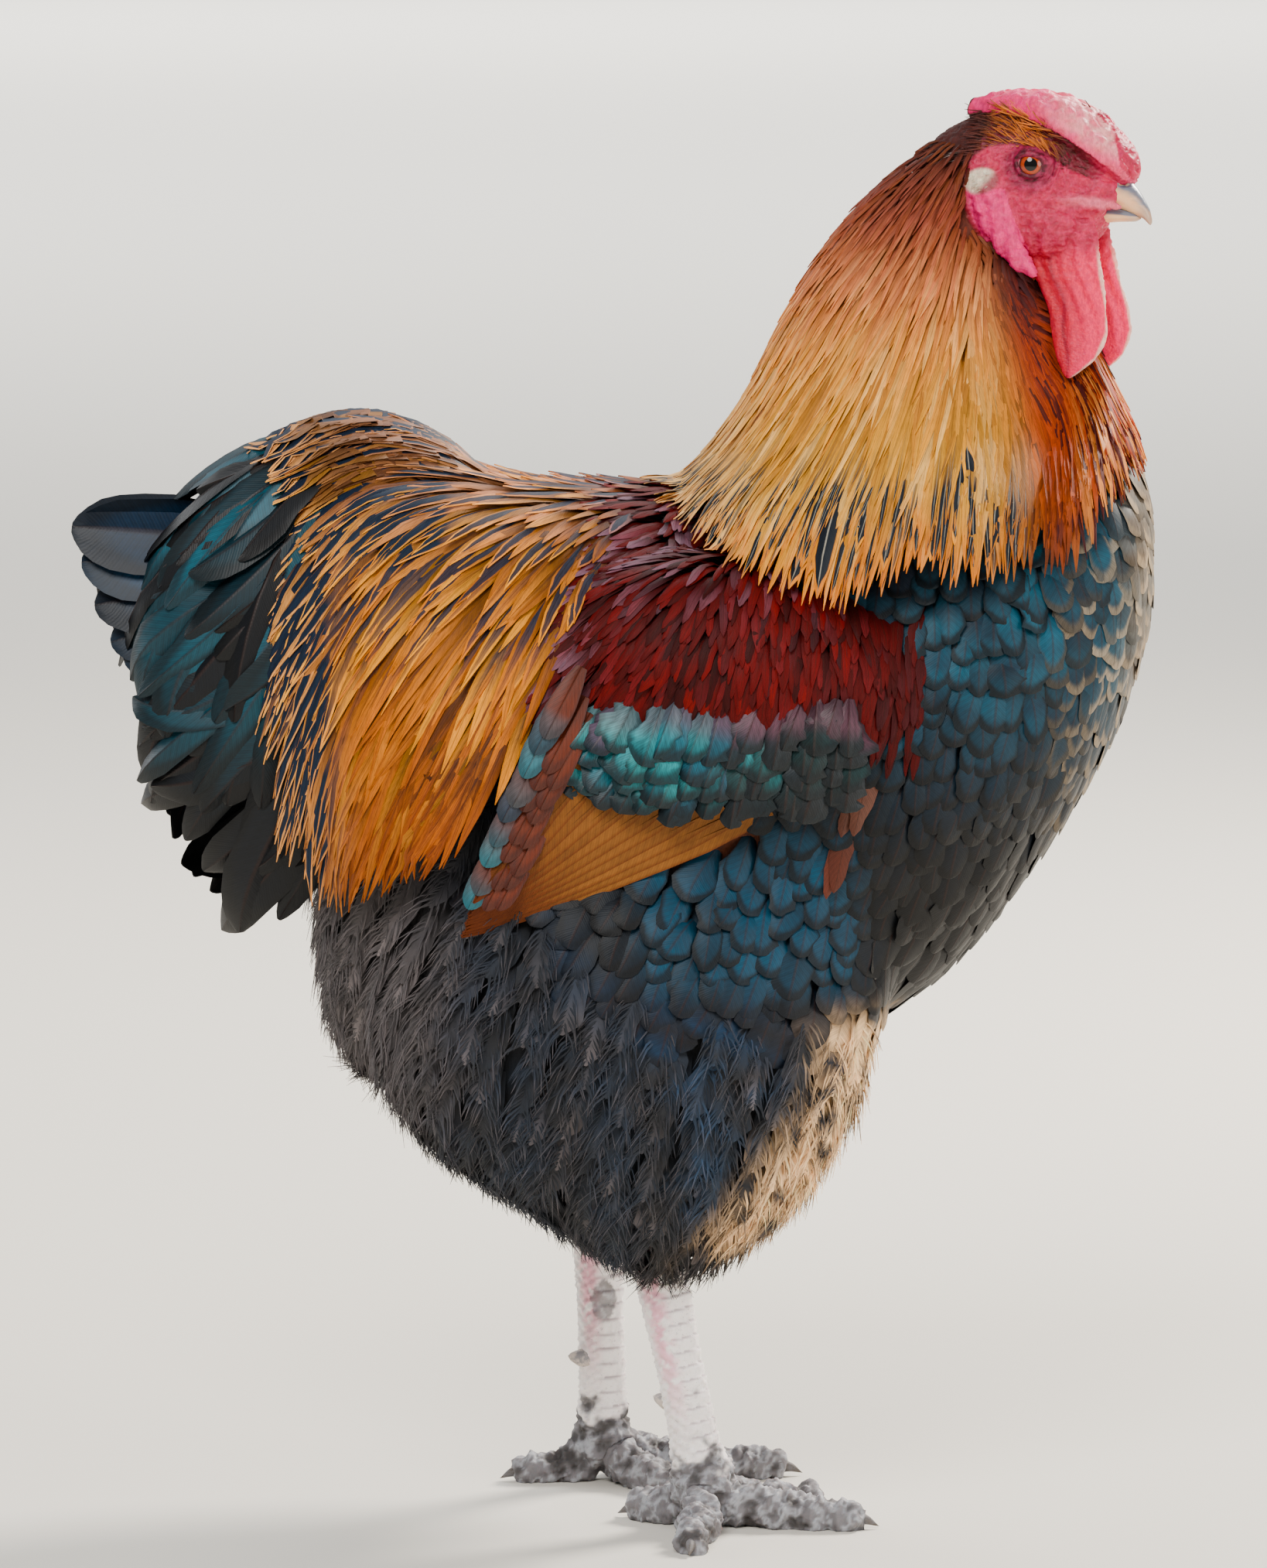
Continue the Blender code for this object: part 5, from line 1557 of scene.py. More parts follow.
def build_bar():
    rng = np.random.default_rng(9)
    coat = Coat(BROAD_SECTION, BROAD, BROAD_SHARES, 0.0004, 0.22, ragged=0.18, seed=10)
    for sign in SIDES.values():
        out = np.array((0, sign, 0.0))
        for first, last, top, bottom, level, count in BAR_TIERS:
            for k in range(count):
                share = (k + rng.uniform(-0.4, 0.4)) / (count - 1)
                x = first + (last - first) * share
                end = math.sin(math.pi * min(max(share, 0.02), 0.98)) ** 0.5
                z = bottom + 0.010 * (1 - end) * (1 if share > 0.5 else 0.6) + rng.uniform(-0.0035, 0.0035)
                rear = float(ramp(x, 0.022, -0.008))
                root = np.array((x + 0.002, sign * (level - 0.003 - 0.010 * rear), top))
                ahead = x - 0.001 - 0.010 * share + rng.uniform(-0.003, 0.003)
                tip = np.array((ahead, sign * (level + 0.0016 - 0.003 * rear), z))
                line, outs = straight_line(root, tip, 0.0016, out)
                coat.add(line, outs, rng.uniform(0.0050, 0.0082), sign * 0.10 + rng.normal(0, 0.14))
    replaced = ("wing_bar_left", "wing_bar_right")
    coat.build("wing_bar", "bar", "wing_bar_feathers", bar_tint, bar_mark, replaced)


def flight_tint(points, shares, luck):
    base = blend(rgb(132, 92, 62), rgb(98, 54, 36), ramp(points[..., 0], 0.000, -0.050) * 0.85)
    return root_shade_and_tone(base, shares, luck, dark=0.8, spread=0.12)


def build_flights():
    rng = np.random.default_rng(3)
    coat = Coat(BROAD_SECTION, BLADE, BROAD_SHARES, 0.0006, 0.10, ragged=0.01, seed=4)
    for sign in SIDES.values():
        out = np.array((0, sign, 0.0))
        for k in range(FLIGHTS):
            share = k / (FLIGHTS - 1)
            level = sign * (0.0885 + 0.0008 * k)
            root = np.array((0.056 - 0.066 * share, level - sign * 0.003, 0.2650 + 0.0200 * share))
            tip_x = -0.0525 + 0.0040 * share + rng.uniform(-0.0006, 0.0006)
            tip = np.array((tip_x, level, 0.2200 + 0.0130 * share))
            line, outs = straight_line(root, tip, 0.0006, out)
            coat.add(line, outs, 0.0058, sign * 0.05)
    replaced = ("wing_flights_left", "wing_flights_right")
    coat.build("flights", "flight", "flight_feathers", flight_tint, flight_mark, replaced)


def tertial_tint(points, shares, luck):
    teal = blend(rgb(66, 146, 158), rgb(18, 62, 80), luck)
    inner = ramp(points[..., 0] - table(TERTIAL_EDGE, points[..., 2]), 0.000, -0.003)
    return root_shade_and_tone(blend(rgb(104, 50, 36), teal, inner), shares, luck, dark=0.7, spread=0.2)


def build_tertials():
    """The wing's innermost feathers: a strip along the saddle's front edge, teal behind, brown in front."""
    rng = np.random.default_rng(13)
    coat = Coat(BROAD_SECTION, ROUNDED, BROAD_SHARES, 0.0005, 0.14, ragged=0.04, seed=14)
    for sign in SIDES.values():
        out = np.array((0, sign, 0.0))
        for count, shift, half, long, rise in TERTIAL_ROWS:
            for k in range(count):
                share = k / (count - 1)
                level = sign * (0.0975 + 0.0006 * k)
                z = 0.2290 + rise * share
                tip = np.array((table(TERTIAL_EDGE, z) + shift, level, z + rng.uniform(-0.002, 0.002)))
                root = tip + np.array((0.46 * long, -sign * 0.22 * long, 0.88 * long))
                line, outs = straight_line(root, tip, 0.0010, out)
                coat.add(line, outs, half * rng.uniform(0.9, 1.1), sign * 0.08)
    coat.build("tertials", "tail", "flight_feathers", tertial_tint, tertial_mark)


# Tail.
def tail_tint(points, shares, luck):
    sheen = ramp(luck, 0.30, 0.95) * ramp(points[..., 2], 0.25, 0.33)
    base = blend(rgb(16, 22, 30), rgb(40, 86, 100), sheen * 0.9)
    return root_shade_and_tone(base, shares, luck, dark=0.6, full=0.7, spread=0.3)


def main_tail_tint(points, shares, luck):
    base = blend(rgb(20, 42, 64), rgb(32, 64, 92), ramp(luck, 0, 1))
    return root_shade_and_tone(base, shares, luck, dark=0.7, spread=0.15)


def build_coverts():
    rng = np.random.default_rng(5)
    coat = Coat(BROAD_SECTION, BROAD, BROAD_SHARES, 0.0006, 0.30, ragged=0.05, seed=6)
    for sign in SIDES.values():
        for first_x, first_turn, last_x, last_turn, count, first_length, last_length, *source in COVERT_ROWS:
            flow = away_from(source[0] if source else COVERT_SOURCE_X, 0.0, COVERT_SOURCE_Z)
            for k in range(count):
                share = (k + rng.uniform(-0.35, 0.35)) / (count - 1)
                x = first_x + (last_x - first_x) * share
                turn = math.radians(first_turn + (last_turn - first_turn) * share)
                start = on_form(COVERTS, x, turn, sign)
                length = (first_length + (last_length - first_length) * share) * rng.uniform(0.82, 1.05)
                width = rng.uniform(0.0060, 0.0105)
                lay(coat, rng, COVERTS_FORM, start, flow, length, width, root=-0.008, tip=0.0020,
                    spread=0.0036, sway=(0.12, 0.42), tilt=0.25)
    replaced = ("tail_coverts_left", "tail_coverts_right")
    coat.build("coverts", "tail", "tail_feathers", tail_tint, tail_mark, replaced)


def build_tail():
    rng = np.random.default_rng(7)
    coat = Coat(BROAD_SECTION, BROAD, BROAD_SHARES, 0.0008, 0.08, ragged=0.03, seed=8)
    for sign in SIDES.values():
        out = unit(np.array((0, sign * 0.88, 0.47)))
        for k in range(TAIL_FEATHERS):
            share = k / (TAIL_FEATHERS - 1)
            rise = math.radians(5 - 30 * share + rng.uniform(-2, 2))
            root = np.array((-0.104, sign * (0.0045 + 0.0026 * k), 0.349 - 0.020 * share))
            tip = root + np.array((-math.cos(rise), 0, math.sin(rise))) * (0.091 - 0.020 * share)
            line, outs = straight_line(root, tip, 0.002, out)
            coat.add(line, outs, 0.0178 - 0.004 * share, sign * (0.08 + rng.uniform(-0.08, 0.08)))
    coat.build("tail", "tail", "tail_feathers", main_tail_tint, tail_mark, ("tail_main",))


# Body.
def fluffness(points):
    """0 on the scale-like feathers of the breast, 1 on the down of the thighs, belly and rear."""
    x, z = points[..., 0], points[..., 2]
    rear = ramp(x, -0.020, -0.060) * ramp(z, 0.31, 0.27)
    low = ramp(z, table(FLUFF_TOP, x) + 0.012, table(FLUFF_TOP, x) - 0.012)
    return np.maximum(rear, low)


def body_tint(points):
    """The colour of the breast, flank and down at any place."""
    x, y, z = points[..., 0], points[..., 1], points[..., 2]
    cloud = 0.5 + 0.5 * np.sin(x * 190 + np.sin(z * 170) * 2.0) * np.sin(z * 210 + y * 60)
    tint = blend(rgb(16, 46, 62), rgb(34, 88, 106), cloud * ramp(z, 0.26, 0.33))
    tint = blend(tint, rgb(18, 28, 38), ramp(z, 0.300, 0.245))
    tint = blend(tint, rgb(16, 18, 22), ramp(z, 0.262, 0.225) * ramp(x, 0.085, 0.105))
    tint = blend(tint, rgb(70, 34, 28), ramp(z, 0.320, 0.375) * ramp(x, 0.15, 0.10) * 0.7)
    patch = ramp(x, 0.004, 0.016) * ramp(x, 0.092, 0.080) * ramp(z, 0.192, 0.204) * ramp(z, 0.264, 0.252)
    tint = blend(tint, rgb(12, 74, 96), patch * (0.45 + 0.55 * cloud))
    # Painted rim light: pale cream along the breast's front edge.
    tint = blend(tint, rgb(190, 160, 124), ramp(x, 0.176, 0.192) * ramp(z, 0.27, 0.31) * 0.25)
    down = fluffness(points)
    dark = blend(rgb(32, 32, 38), rgb(30, 46, 66), cloud)
    # Painted blue sheen in the middle of the thigh's down.
    blue = ramp(x, 0.000, 0.020) * ramp(x, 0.065, 0.045) * ramp(z, 0.110, 0.130) * ramp(z, 0.200, 0.180)
    dark = blend(dark, rgb(20, 62, 92), blue * ramp(cloud, 0.40, 0.90) * 0.8)
    dark = blend(dark, rgb(96, 90, 90), ramp(x, -0.040, -0.085) * ramp(z, 0.130, 0.160) * 0.8)
    # A broken pale band along the thigh's front: mostly painted rim light, partly the down's own paler
    # colour.
    front = table(THIGH_FRONT, z)
    broken = np.sin(x * 330 + np.sin(z * 260 + y * 90) * 1.8) * np.sin(z * 300 - x * 120)
    pale = ramp(x, front - 0.034, front - 0.008) * ramp(z, 0.200, 0.180)
    pale = pale * ramp(z + 0.010 * broken, 0.098, 0.112)
    dark = blend(dark, RIM_LIT_CREAM, pale * ramp(broken, -0.60, -0.10))
    dark = blend(dark, rgb(30, 22, 20), ramp(z, 0.118, 0.098) * ramp(x, 0.000, 0.020) * (1 - pale) * 0.8)
    return blend(tint, dark, down)


def scale_tint(points, shares, luck):
    return root_shade_and_tone(body_tint(points), shares, luck, dark=0.7, spread=0.25)


def scale_mark(points, shares, luck):
    # Towards the breast's front the edges turn pale cream, painted rim light.
    front = ramp(points[..., 0], 0.150, 0.188)
    edge = blend(rgb(8, 14, 18), rgb(196, 176, 150), front * ramp(luck, 0, 0.8))
    return with_strength(edge, 0.85 * (1 - 0.6 * fluffness(points)) * (1 - 0.45 * front))


def streak_tint(points, shares, luck):
    base = blend(rgb(108, 74, 64), rgb(98, 54, 44), ramp(points[..., 2], 0.262, 0.250))
    return root_shade_and_tone(base, shares, luck, dark=0.8, spread=0.15)


def hidden(start):
    """Whether a place on the body lies deep under the cape, the saddle or a wing."""
    if depth_in(CAPE_FORM, start) > 0.005 and start[2] > 0.380:
        return True
    side = "left" if start[1] > 0 else "right"
    under = depth_in(MANTLE_FORM, start) > 0.012 and start[2] > 0.285 and start[0] < 0.10
    return under or depth_in(FLIGHT_ROOMS[side], start) > 0.004


def build_scales():
    rng = np.random.default_rng(41)
    coat = Coat(VANE_SECTION, ROUNDED, VANE_SHARES, 0.0004, 0.12, ragged=0.12, seed=42)
    brown = Coat(VANE_SECTION, POINTED, VANE_SHARES, 0.0004, 0.12, ragged=0.12, seed=43)
    flow = away_from(*BODY_SOURCE)

    def spacing(points):
        keep = (fluffness(points) < 0.75) & (points[:, 2] < 0.398)
        return np.where(keep, table(SCALE_GAP, points[:, 0]), np.inf)

    for start in spread_over(body_mesh, spacing, rng):
        if hidden(start):
            continue
        lay(coat, rng, BODY_FORM, start, flow, rng.uniform(0.018, 0.026), rng.uniform(0.0048, 0.0072),
            sway=(0.14, 0.14))
    for sign in SIDES.values():
        for x, z, length, half in BROWN_LEAVES:
            start = (x, sign * 0.12, z)
            lay(brown, rng, BODY_FORM, start, flow, length, half, root=-0.002, tip=0.0030, sway=(0.03, 0.03))
    coat.build("body_feathers", "breast", "body_feathers", scale_tint, scale_mark)
    brown.build("streak", "breast", "body_feathers", streak_tint, no_mark)


def fluff_tint(points, shares, luck):
    """As the body's colour, with dark tufts among the pale ones and paler tips."""
    base = body_tint(points)
    base = blend(base, rgb(56, 44, 40), ramp(luck, 0.24, 0.08) * ramp(base.sum(-1), 0.25, 0.60) * 0.7)
    base = blend(base, rgb(134, 124, 122), ramp(shares, 0.4, 1.0) * ramp(luck, 0.2, 1.0) * 0.30)
    return root_shade_and_tone(base, shares, luck, dark=0.6, spread=0.34)


def build_fluff():
    rng = np.random.default_rng(51)
    vane = Coat(VANE_SECTION, ROUNDED, (0, 0.3, 0.6, 0.85, 1), 0.0006, 0.2, ragged=0.2, seed=52)
    barbs = Coat(BARB_SECTION, HAIR, (0, 0.5, 1), 0.0003, 0.0, ragged=0.0, seed=53)
    flow = away_from(*FLUFF_SOURCE)

    def spacing(points):
        return np.where(fluffness(points) > 0.25, FLUFF_GAP, np.inf)

    for start in spread_over(body_mesh, spacing, rng):
        if hidden(start):
            continue
        low = float(ramp(start[2], 0.14, 0.105))
        length = rng.uniform(0.024, 0.036) * (1 - 0.45 * low)
        rise = lie(rng, -0.005, 0.0030, 0.0024)
        line, outs = course(BODY_FORM, start, flow, length, rise, rng.normal(0, 0.15, 2))
        vane.add(line, outs, rng.uniform(0.0042, 0.0056), rng.normal(0, 0.12))
        ahead = unit(np.gradient(line, axis=0))
        across = unit(np.cross(ahead, outs))
        for k in range(BARBS):
            at = 1.5 + 6.3 * (k // 2 + 0.5 * (k % 2)) / (BARBS / 2)
            i = min(int(at), 7)
            part = at - i
            base = line[i] * (1 - part) + line[i + 1] * part
            sideways = (1 if k % 2 else -1) * rng.uniform(0.35, 1.10)
            way = unit(ahead[i] + across[i] * sideways + outs[i] * rng.uniform(-0.02, 0.22))
            curl = unit(ahead[i] * 0.8 + across[i] * sideways * 0.3 - Z_AXIS * rng.uniform(0, 0.4))
            reach = rng.uniform(0.007, 0.014)
            bend = np.stack([base, base + way * reach * 0.55, base + way * reach * 0.7 + curl * reach * 0.45])
            barbs.add(bend, np.repeat(outs[i][None], 3, 0), rng.uniform(0.00032, 0.00052))
    vane.build("fluff", "fluff", "fluff", fluff_tint, no_mark)
    barbs.build("fluff_barbs", "fluff", "fluff", fluff_tint, no_mark)


# Short feathers and bristles of the head.
def crown_tint(points, shares, luck):
    """Dark brown on the nape and along the comb, ginger over the eye, with grey streaks behind the ear."""
    places = to_head(points)
    x, z = places[..., 0], places[..., 2]
    ginger = ramp(x, 0.134, 0.144) * ramp(x, 0.166, 0.156)
    base = blend(rgb(100, 48, 42), rgb(200, 122, 62), ginger * ramp(luck, 0.0, 0.5))
    grey = ramp(x, 0.130, 0.124) * ramp(z, 0.496, 0.490) * ramp(luck, 0.72, 0.80)
    base = blend(base, rgb(180, 170, 166), grey * 0.8)
    return root_shade_and_tone(base, shares, luck, dark=0.75, spread=0.25)


def ear_tint(points, shares, luck):
    return root_shade_and_tone(rgb(214, 204, 190), shares, luck, dark=0.8, spread=0.2)


def bristle(coat, tree, start, way, length, half, rng, lift):
    """A short bristle that leaves the head's surface at a low angle."""
    place, out = tree.find_nearest(Vector(start))[:2]
    place, out = np.array(place), np.array(out)
    along = unit(way - out * (way @ out))
    along = unit(along + np.cross(out, along) * rng.normal(0, 0.14) + out * rng.uniform(0.02, lift))
    share = np.linspace(0, 1, 4)[:, None]
    line = place - out * 0.0006 + along * length * share - out * (length * 0.10) * share**2
    coat.add(line, np.repeat(out[None], 4, 0), half)


def build_crown(head_mesh, head_tree):
    rng = np.random.default_rng(61)
    crown = Coat(LANCE_SECTION, HAIR, (0, 0.4, 0.75, 1), 0.0003, 0.0, ragged=0.0, seed=62)
    ear = Coat(BARB_SECTION, HAIR, (0, 0.4, 0.75, 1), 0.0002, 0.0, ragged=0.0, seed=63)

    def turned(x, y, z):
        return from_head(HEAD_PIVOT + np.array((x, y, z))) - HEAD_PIVOT

    def spacing(points):
        places = to_head(points)
        x, y, z = places.T
        above = z > table(CROWN_EDGE, x)
        end = 0.170 + 0.006 * np.sin(z * 2600)
        keep = above & (x < end) & ~on_comb(places) & (np.abs(y) < 0.022) & ((z < 0.495) | (x > 0.134))
        return np.where(keep, CROWN_GAP, np.inf)

    for start in spread_over(head_mesh, spacing, rng):
        x = to_head(start)[0]
        length = table(CROWN_LENGTH, x) * rng.uniform(0.8, 1.2)
        way, lift = turned(-1, 0, table(CROWN_RISE, x)), table(CROWN_LIFT, x)
        bristle(crown, head_tree, start, way, length, rng.uniform(0.00018, 0.00032), rng, lift)
    for sign in SIDES.values():
        for _ in range(EAR_BRISTLES):
            spot = np.array((rng.uniform(0.1345, 0.1410), sign * 0.020, rng.uniform(0.4800, 0.4860)))
            way = turned(-1.0, 0, -0.75)
            bristle(ear, head_tree, from_head(spot), way, rng.uniform(0.002, 0.004), 0.00014, rng, 0.08)
    crown.build("crown", "fluff", "hackle_feathers", crown_tint, no_mark)
    ear.build("ear_bristles", "fluff", "hackle_feathers", ear_tint, no_mark)


# Skin.
def on_comb(places):
    """Whether points in the head's frame lie on the comb's band."""
    x, y, z = places.T
    middle, half, across = columns(COMB, x)
    aside = y / np.maximum(across + 0.0012, 1e-4)
    above = (z - middle) / np.maximum(half + 0.0012, 1e-4)
    inside = aside**2 + above**2
    return (inside < 1.6) & (x > 0.126) & (z > middle - 0.45 * half)


def lobe_share(places):
    """Whether points in the head's frame lie on an earlobe."""
    back, front = columns(LOBE, places[:, 2])
    inside = (places[:, 0] > back - 0.002) & (places[:, 0] < front + 0.0006)
    return inside & (places[:, 2] < 0.4800) & (np.abs(places[:, 1]) > 0.0165)


def leaf_grid(outline, hang, sign, swing=0.0):
    """A hanging leaf of flesh with soft folds, from rows of (z, back x, front x)."""
    y_top, y_low, thick, wave = hang
    z, back, front = through(outline, 8).T
    share = (z[0] - z) / (z[0] - z[-1])
    half = thick / 2 * np.sqrt(np.clip(1 - (2 * share - 1) ** 8, 0, 1))
    y = sign * (y_top + (y_low - y_top) * share + wave * np.sin(share * 7.0) * share)
    centres = np.stack([(back + front) / 2 + swing * share, y, z], 1)
    return rings(centres, X_AXIS * ((front - back) / 2)[:, None], Y_AXIS * half[:, None], 64)


def lid_mesh(side):
    """The rims of both eyelids: an almond ring that rests on the eyeball, heavier above."""
    sign = SIDES[side]
    axis = eye_axis(side)
    up = unit(Z_AXIS - axis * axis[2])
    ahead = np.cross(up, axis) * -sign
    turn = np.linspace(0, 2 * math.pi, RIM_STEPS, endpoint=False)
    upper = np.sin(turn) > 0
    thick = np.where(upper, *LID_THICK)[:, None]
    flat = np.stack([LID_HALF[0] * np.cos(turn), np.where(upper, *LID_HALF[1:]) * np.sin(turn)], 1)
    flat = flat + unit(flat) * thick
    c, s = math.cos(LID_TILT), math.sin(LID_TILT)
    flat = flat @ np.array(((c, s), (-s, c)))
    wide = np.linalg.norm(flat, axis=1)
    out = 0.82 * np.sqrt(np.maximum(EYE_RADIUS**2 - 0.85 * wide**2, 1e-6)) + 0.0002
    centre = EYE * (1, sign, 1)
    spokes = ahead * flat[:, :1] + up * flat[:, 1:]
    points = centre + spokes + axis * out[:, None]
    grid = rings(points, unit(spokes) * thick, axis * thick, RIM_COUNT)
    index = np.arange(RIM_STEPS * RIM_COUNT).reshape(RIM_STEPS, RIM_COUNT)
    aside = np.roll(index, -1, 1)
    quads = np.stack([index, aside, np.roll(aside, -1, 0), np.roll(index, -1, 0)], -1)
    mesh = bpy.data.meshes.new("lid")
    mesh.from_pydata(grid.reshape(-1, 3).tolist(), [], quads.reshape(-1, 4).tolist())
    return mesh


def eye_axis(side):
    return unit(np.array((0.16, SIDES[side] * 1.0, 0.05)))


def ridged(points, scale, seed):
    """Creases: high along thin wandering lines."""
    found = np.empty(len(points))
    shift = Vector((seed, seed * 0.7, -seed))
    for i, point in enumerate(points * scale):
        found[i] = 1 - abs(noise.fractal(Vector(point) + shift, 0.9, 2.0, 3)) * 2
    return found


def spots(points, rng, gap, limit=6000):
    """Some of the points, none closer to another than the gap, in a tree."""
    chosen = points[rng.permutation(len(points))[:limit]]
    kept = sparse(chosen, np.full(len(chosen), gap))
    return point_tree(kept), len(kept)


def from_eye(places):
    """How far points in the head's frame lie from the middle of the nearer eye, and in which direction."""
    off = (places - EYE)[:, (0, 2)]
    return np.linalg.norm(off, axis=1), np.arctan2(off[:, 1], off[:, 0])


def dome(distance, radius):
    """The height of a round bump, from 1 in its middle to 0 at its edge."""
    return max(0.0, 1 - (distance / radius) ** 2)


def head_skin():
    meshes = [grid_mesh("skull", lengthwise(SKULL, 8, 80))]
    rows = through([(x, 0, z, half, across) for x, z, half, across in COMB], 10)
    meshes.append(grid_mesh("comb", limb(rows[:, :3], rows[:, 3], rows[:, 4], count=64)))
    for side, sign in SIDES.items():
        for (x, y, z), radii in FACE + CERE:
            meshes.append(ball_mesh((x, sign * y, z), radii))
        swing = FAR_SWING if side == "left" else 0.0
        meshes.append(grid_mesh("wattle", leaf_grid(WATTLE, WATTLE_HANG, sign, swing)))
        meshes.append(grid_mesh("lobe", leaf_grid(LOBE, LOBE_HANG, sign)))
    base = fused("base", meshes, HEAD_VOXEL, 12)
    rims = [lid_mesh(side) for side in SIDES] + [slab(LIPS, side) for side in SIDES]
    mesh = fused("head", [base] + rims, FACE_VOXEL, 4)
    points, outward = coordinates(mesh), normals(mesh)
    x, y, z = points.T
    comb = on_comb(points)
    away, turn = from_eye(points)
    beside = ramp(np.abs(y), 0.009, 0.012)
    near_eye = ramp(away, 0.0078, 0.0066) * beside
    rng = np.random.default_rng(71)
    height = np.zeros(len(points))
    gap, rise, radius = WARTS
    warts, count = spots(points[comb & (outward[:, 2] > -0.2)], rng, gap)
    tall = rng.uniform(0.2, 1.2, count)
    for i in np.nonzero(comb)[0]:
        _, k, distance = warts.find(points[i])
        height[i] = rise * tall[k] * dome(distance, radius)
    height += comb * (0.0012 * ridged(points, 75, 4.0) - 0.0014 * ramp(np.abs(y), 0.0020, 0.0002))
    gap, rise, radius = GRAINS
    grains = spots(points[~comb & (z > 0.450) & (z < 0.500)], rng, gap, 14000)[0]
    under_eye = ramp(away, 0.0072, 0.0086) * ramp(away, 0.0170, 0.0140)
    under_eye = under_eye * ramp(np.sin(turn), 0.45, 0.10) * beside
    for i in np.nonzero(under_eye > 0.01)[0]:
        height[i] += rise * under_eye[i] * dome(grains.find(points[i])[2], radius)
    creases = ridged(points * (1, 1, 1.6), 230, 3.0)
    fine = ridged(points, 620, 9.0)
    face = ~comb & (z > 0.447)
    relief = np.where(face, CREASE_HEIGHT * creases + FACE_GRAIN * fine, OTHER_GRAIN * fine)
    height += relief * (1 - near_eye)
    ahead = ramp(away, 0.0070, 0.0080) * ramp(away, 0.0150, 0.0110) * ramp(np.cos(turn), 0.2, 0.7) * beside
    height += EYE_RING_HEIGHT * np.sin(away * 2 * math.pi / EYE_RING_GAP + 1.5 * creases) * ahead
    hanging = ~comb & (z < 0.464) | lobe_share(points)
    folds = np.sin(x * 1150 + np.sin(z * 170) * 1.6 + z * 300)
    height += np.where(hanging, FOLD_HEIGHT * folds * ramp(z, 0.412, 0.440), 0)
    move_to(mesh, from_head(points + outward * height[:, None]))
    return mesh


def shank_points(side, count):
    top, low = np.array(HOCK[side]), np.array(FOOT[side])
    down = unit(low - top)
    share = np.linspace(0, 1, count)
    return top - down * 0.012 + (low - top + down * 0.020) * share[:, None], share


def scutes(points, side):
    """Where points lie on a shank: its length's share, the turn, on shank, on its front, and the sawtooth."""
    top, low = np.array(HOCK[side]), np.array(FOOT[side])
    way = low - top
    along = ((points - top) @ way) / (way @ way)
    centre = top + along[:, None] * way
    turn = np.arctan2(points[:, 1] - centre[:, 1], points[:, 0] - centre[:, 0])
    front = ramp(np.abs(turn - PLATE_SPLIT), 2.10, 1.60)
    saw = (along * PLATES + np.where(turn > PLATE_SPLIT, 0.5, 0.0)) % 1.0
    return along, turn, ramp(along, 1.0, 0.90), front, saw


def toe_limb(name, rows, side, heading, first, length, count):
    """A limb along a toe, from rows of (share of the length, height, half height, half width)."""
    turn = math.radians(heading)
    ahead = np.array((math.cos(turn), math.sin(turn), 0))
    rows = through(rows, 8)
    line = np.array(FOOT[side]) + ahead * first + ahead * (length * rows[:, :1])
    line[:, 2] = rows[:, 1]
    aside = np.array((-ahead[1], ahead[0], 0))
    return grid_mesh(name, limb(line, rows[:, 2], rows[:, 3], aside, count))


def leg_skin(side):
    points, share = shank_points(side, 60)
    half, across = table(SHANK_HALF, share), table(SHANK_ACROSS, share)
    half[[0, -1]] = across[[0, -1]] = 0
    meshes = [grid_mesh("shank", limb(points, half, across, count=48))]
    for name, heading, length in TOES[side]:
        meshes.append(toe_limb(f"toe_{name}", TOE, side, heading, TOE_START, length + MUD_CAP, 32))
    mesh = fused(f"leg_{side}", meshes, LEG_VOXEL, 5)
    places, outward = coordinates(mesh), normals(mesh)
    low = np.array(FOOT[side])
    along, turn, on_shank, front, saw = scutes(places, side)
    plates = (1 - saw) ** 0.7 * ramp(saw, 0.0, 0.16)
    height = on_shank * front * PLATE_HEIGHT * (plates - 0.5)
    height -= on_shank * ramp(np.abs(turn - PLATE_SPLIT), 0.14, 0.04) * SEAM_DEPTH
    grains = np.sin(along * 150) * np.sin(turn * 9 + np.floor(along * 24) * 1.6)
    height += on_shank * (1.2 - front) * LEG_GRAIN * grains
    lumps = ridged(places, 420, 5.0)
    coarse = ridged(places, 70, 8.0) + 0.5 * ridged(places, 190, 12.0)
    mud = ramp(places[:, 2], 0.034, 0.016)
    height += (0.6 + 0.4 * mud) * LEG_LUMPS * lumps + mud * MUD_HEIGHT * coarse
    rings_on_toes = np.sin(np.linalg.norm(places[:, :2] - low[:2], axis=1) * 1700)
    height += (1 - on_shank) * TOE_RINGS * rings_on_toes * ramp(outward[:, 2], 0.1, 0.6)
    places = places + outward * height[:, None]
    places[:, 2] = np.maximum(places[:, 2], 0.0)
    move_to(mesh, places)
    return mesh


def body_skin():
    """The bird's body under its coat."""
    rows = [(x, y - COAT_DEPTH, *rest) for x, y, *rest in FLIGHT_CORE]
    slabs = [slab(rows, side) for side in SIDES]
    pads = [ball_mesh(*pad) for pad in TAIL_PADS]
    inner = fused("inner", trunk + [neck_mesh, saddle_core_mesh] + bows + pads, FORM_VOXEL, 10)
    move_to(inner, tucked(coordinates(inner) - normals(inner) * COAT_DEPTH, 0.003))
    return fused("body_skin", [inner] + slabs, SKIN_VOXEL, 4)


def united(base, others):
    """One closed mesh from several that overlap."""
    helpers = bpy.data.collections.new("helpers")
    bpy.context.scene.collection.children.link(helpers)
    made = []
    for k, other in enumerate(others):
        made.append(bpy.data.objects.new(f"helper_{k}", other))
        helpers.objects.link(made[-1])
    settings = {"operation": "UNION", "solver": "MANIFOLD", "operand_type": "COLLECTION"}
    settings["collection"] = helpers
    mesh = evaluated(base, ("BOOLEAN", settings))
    for other in made:
        bpy.data.objects.remove(other)
    bpy.data.collections.remove(helpers)
    return mesh


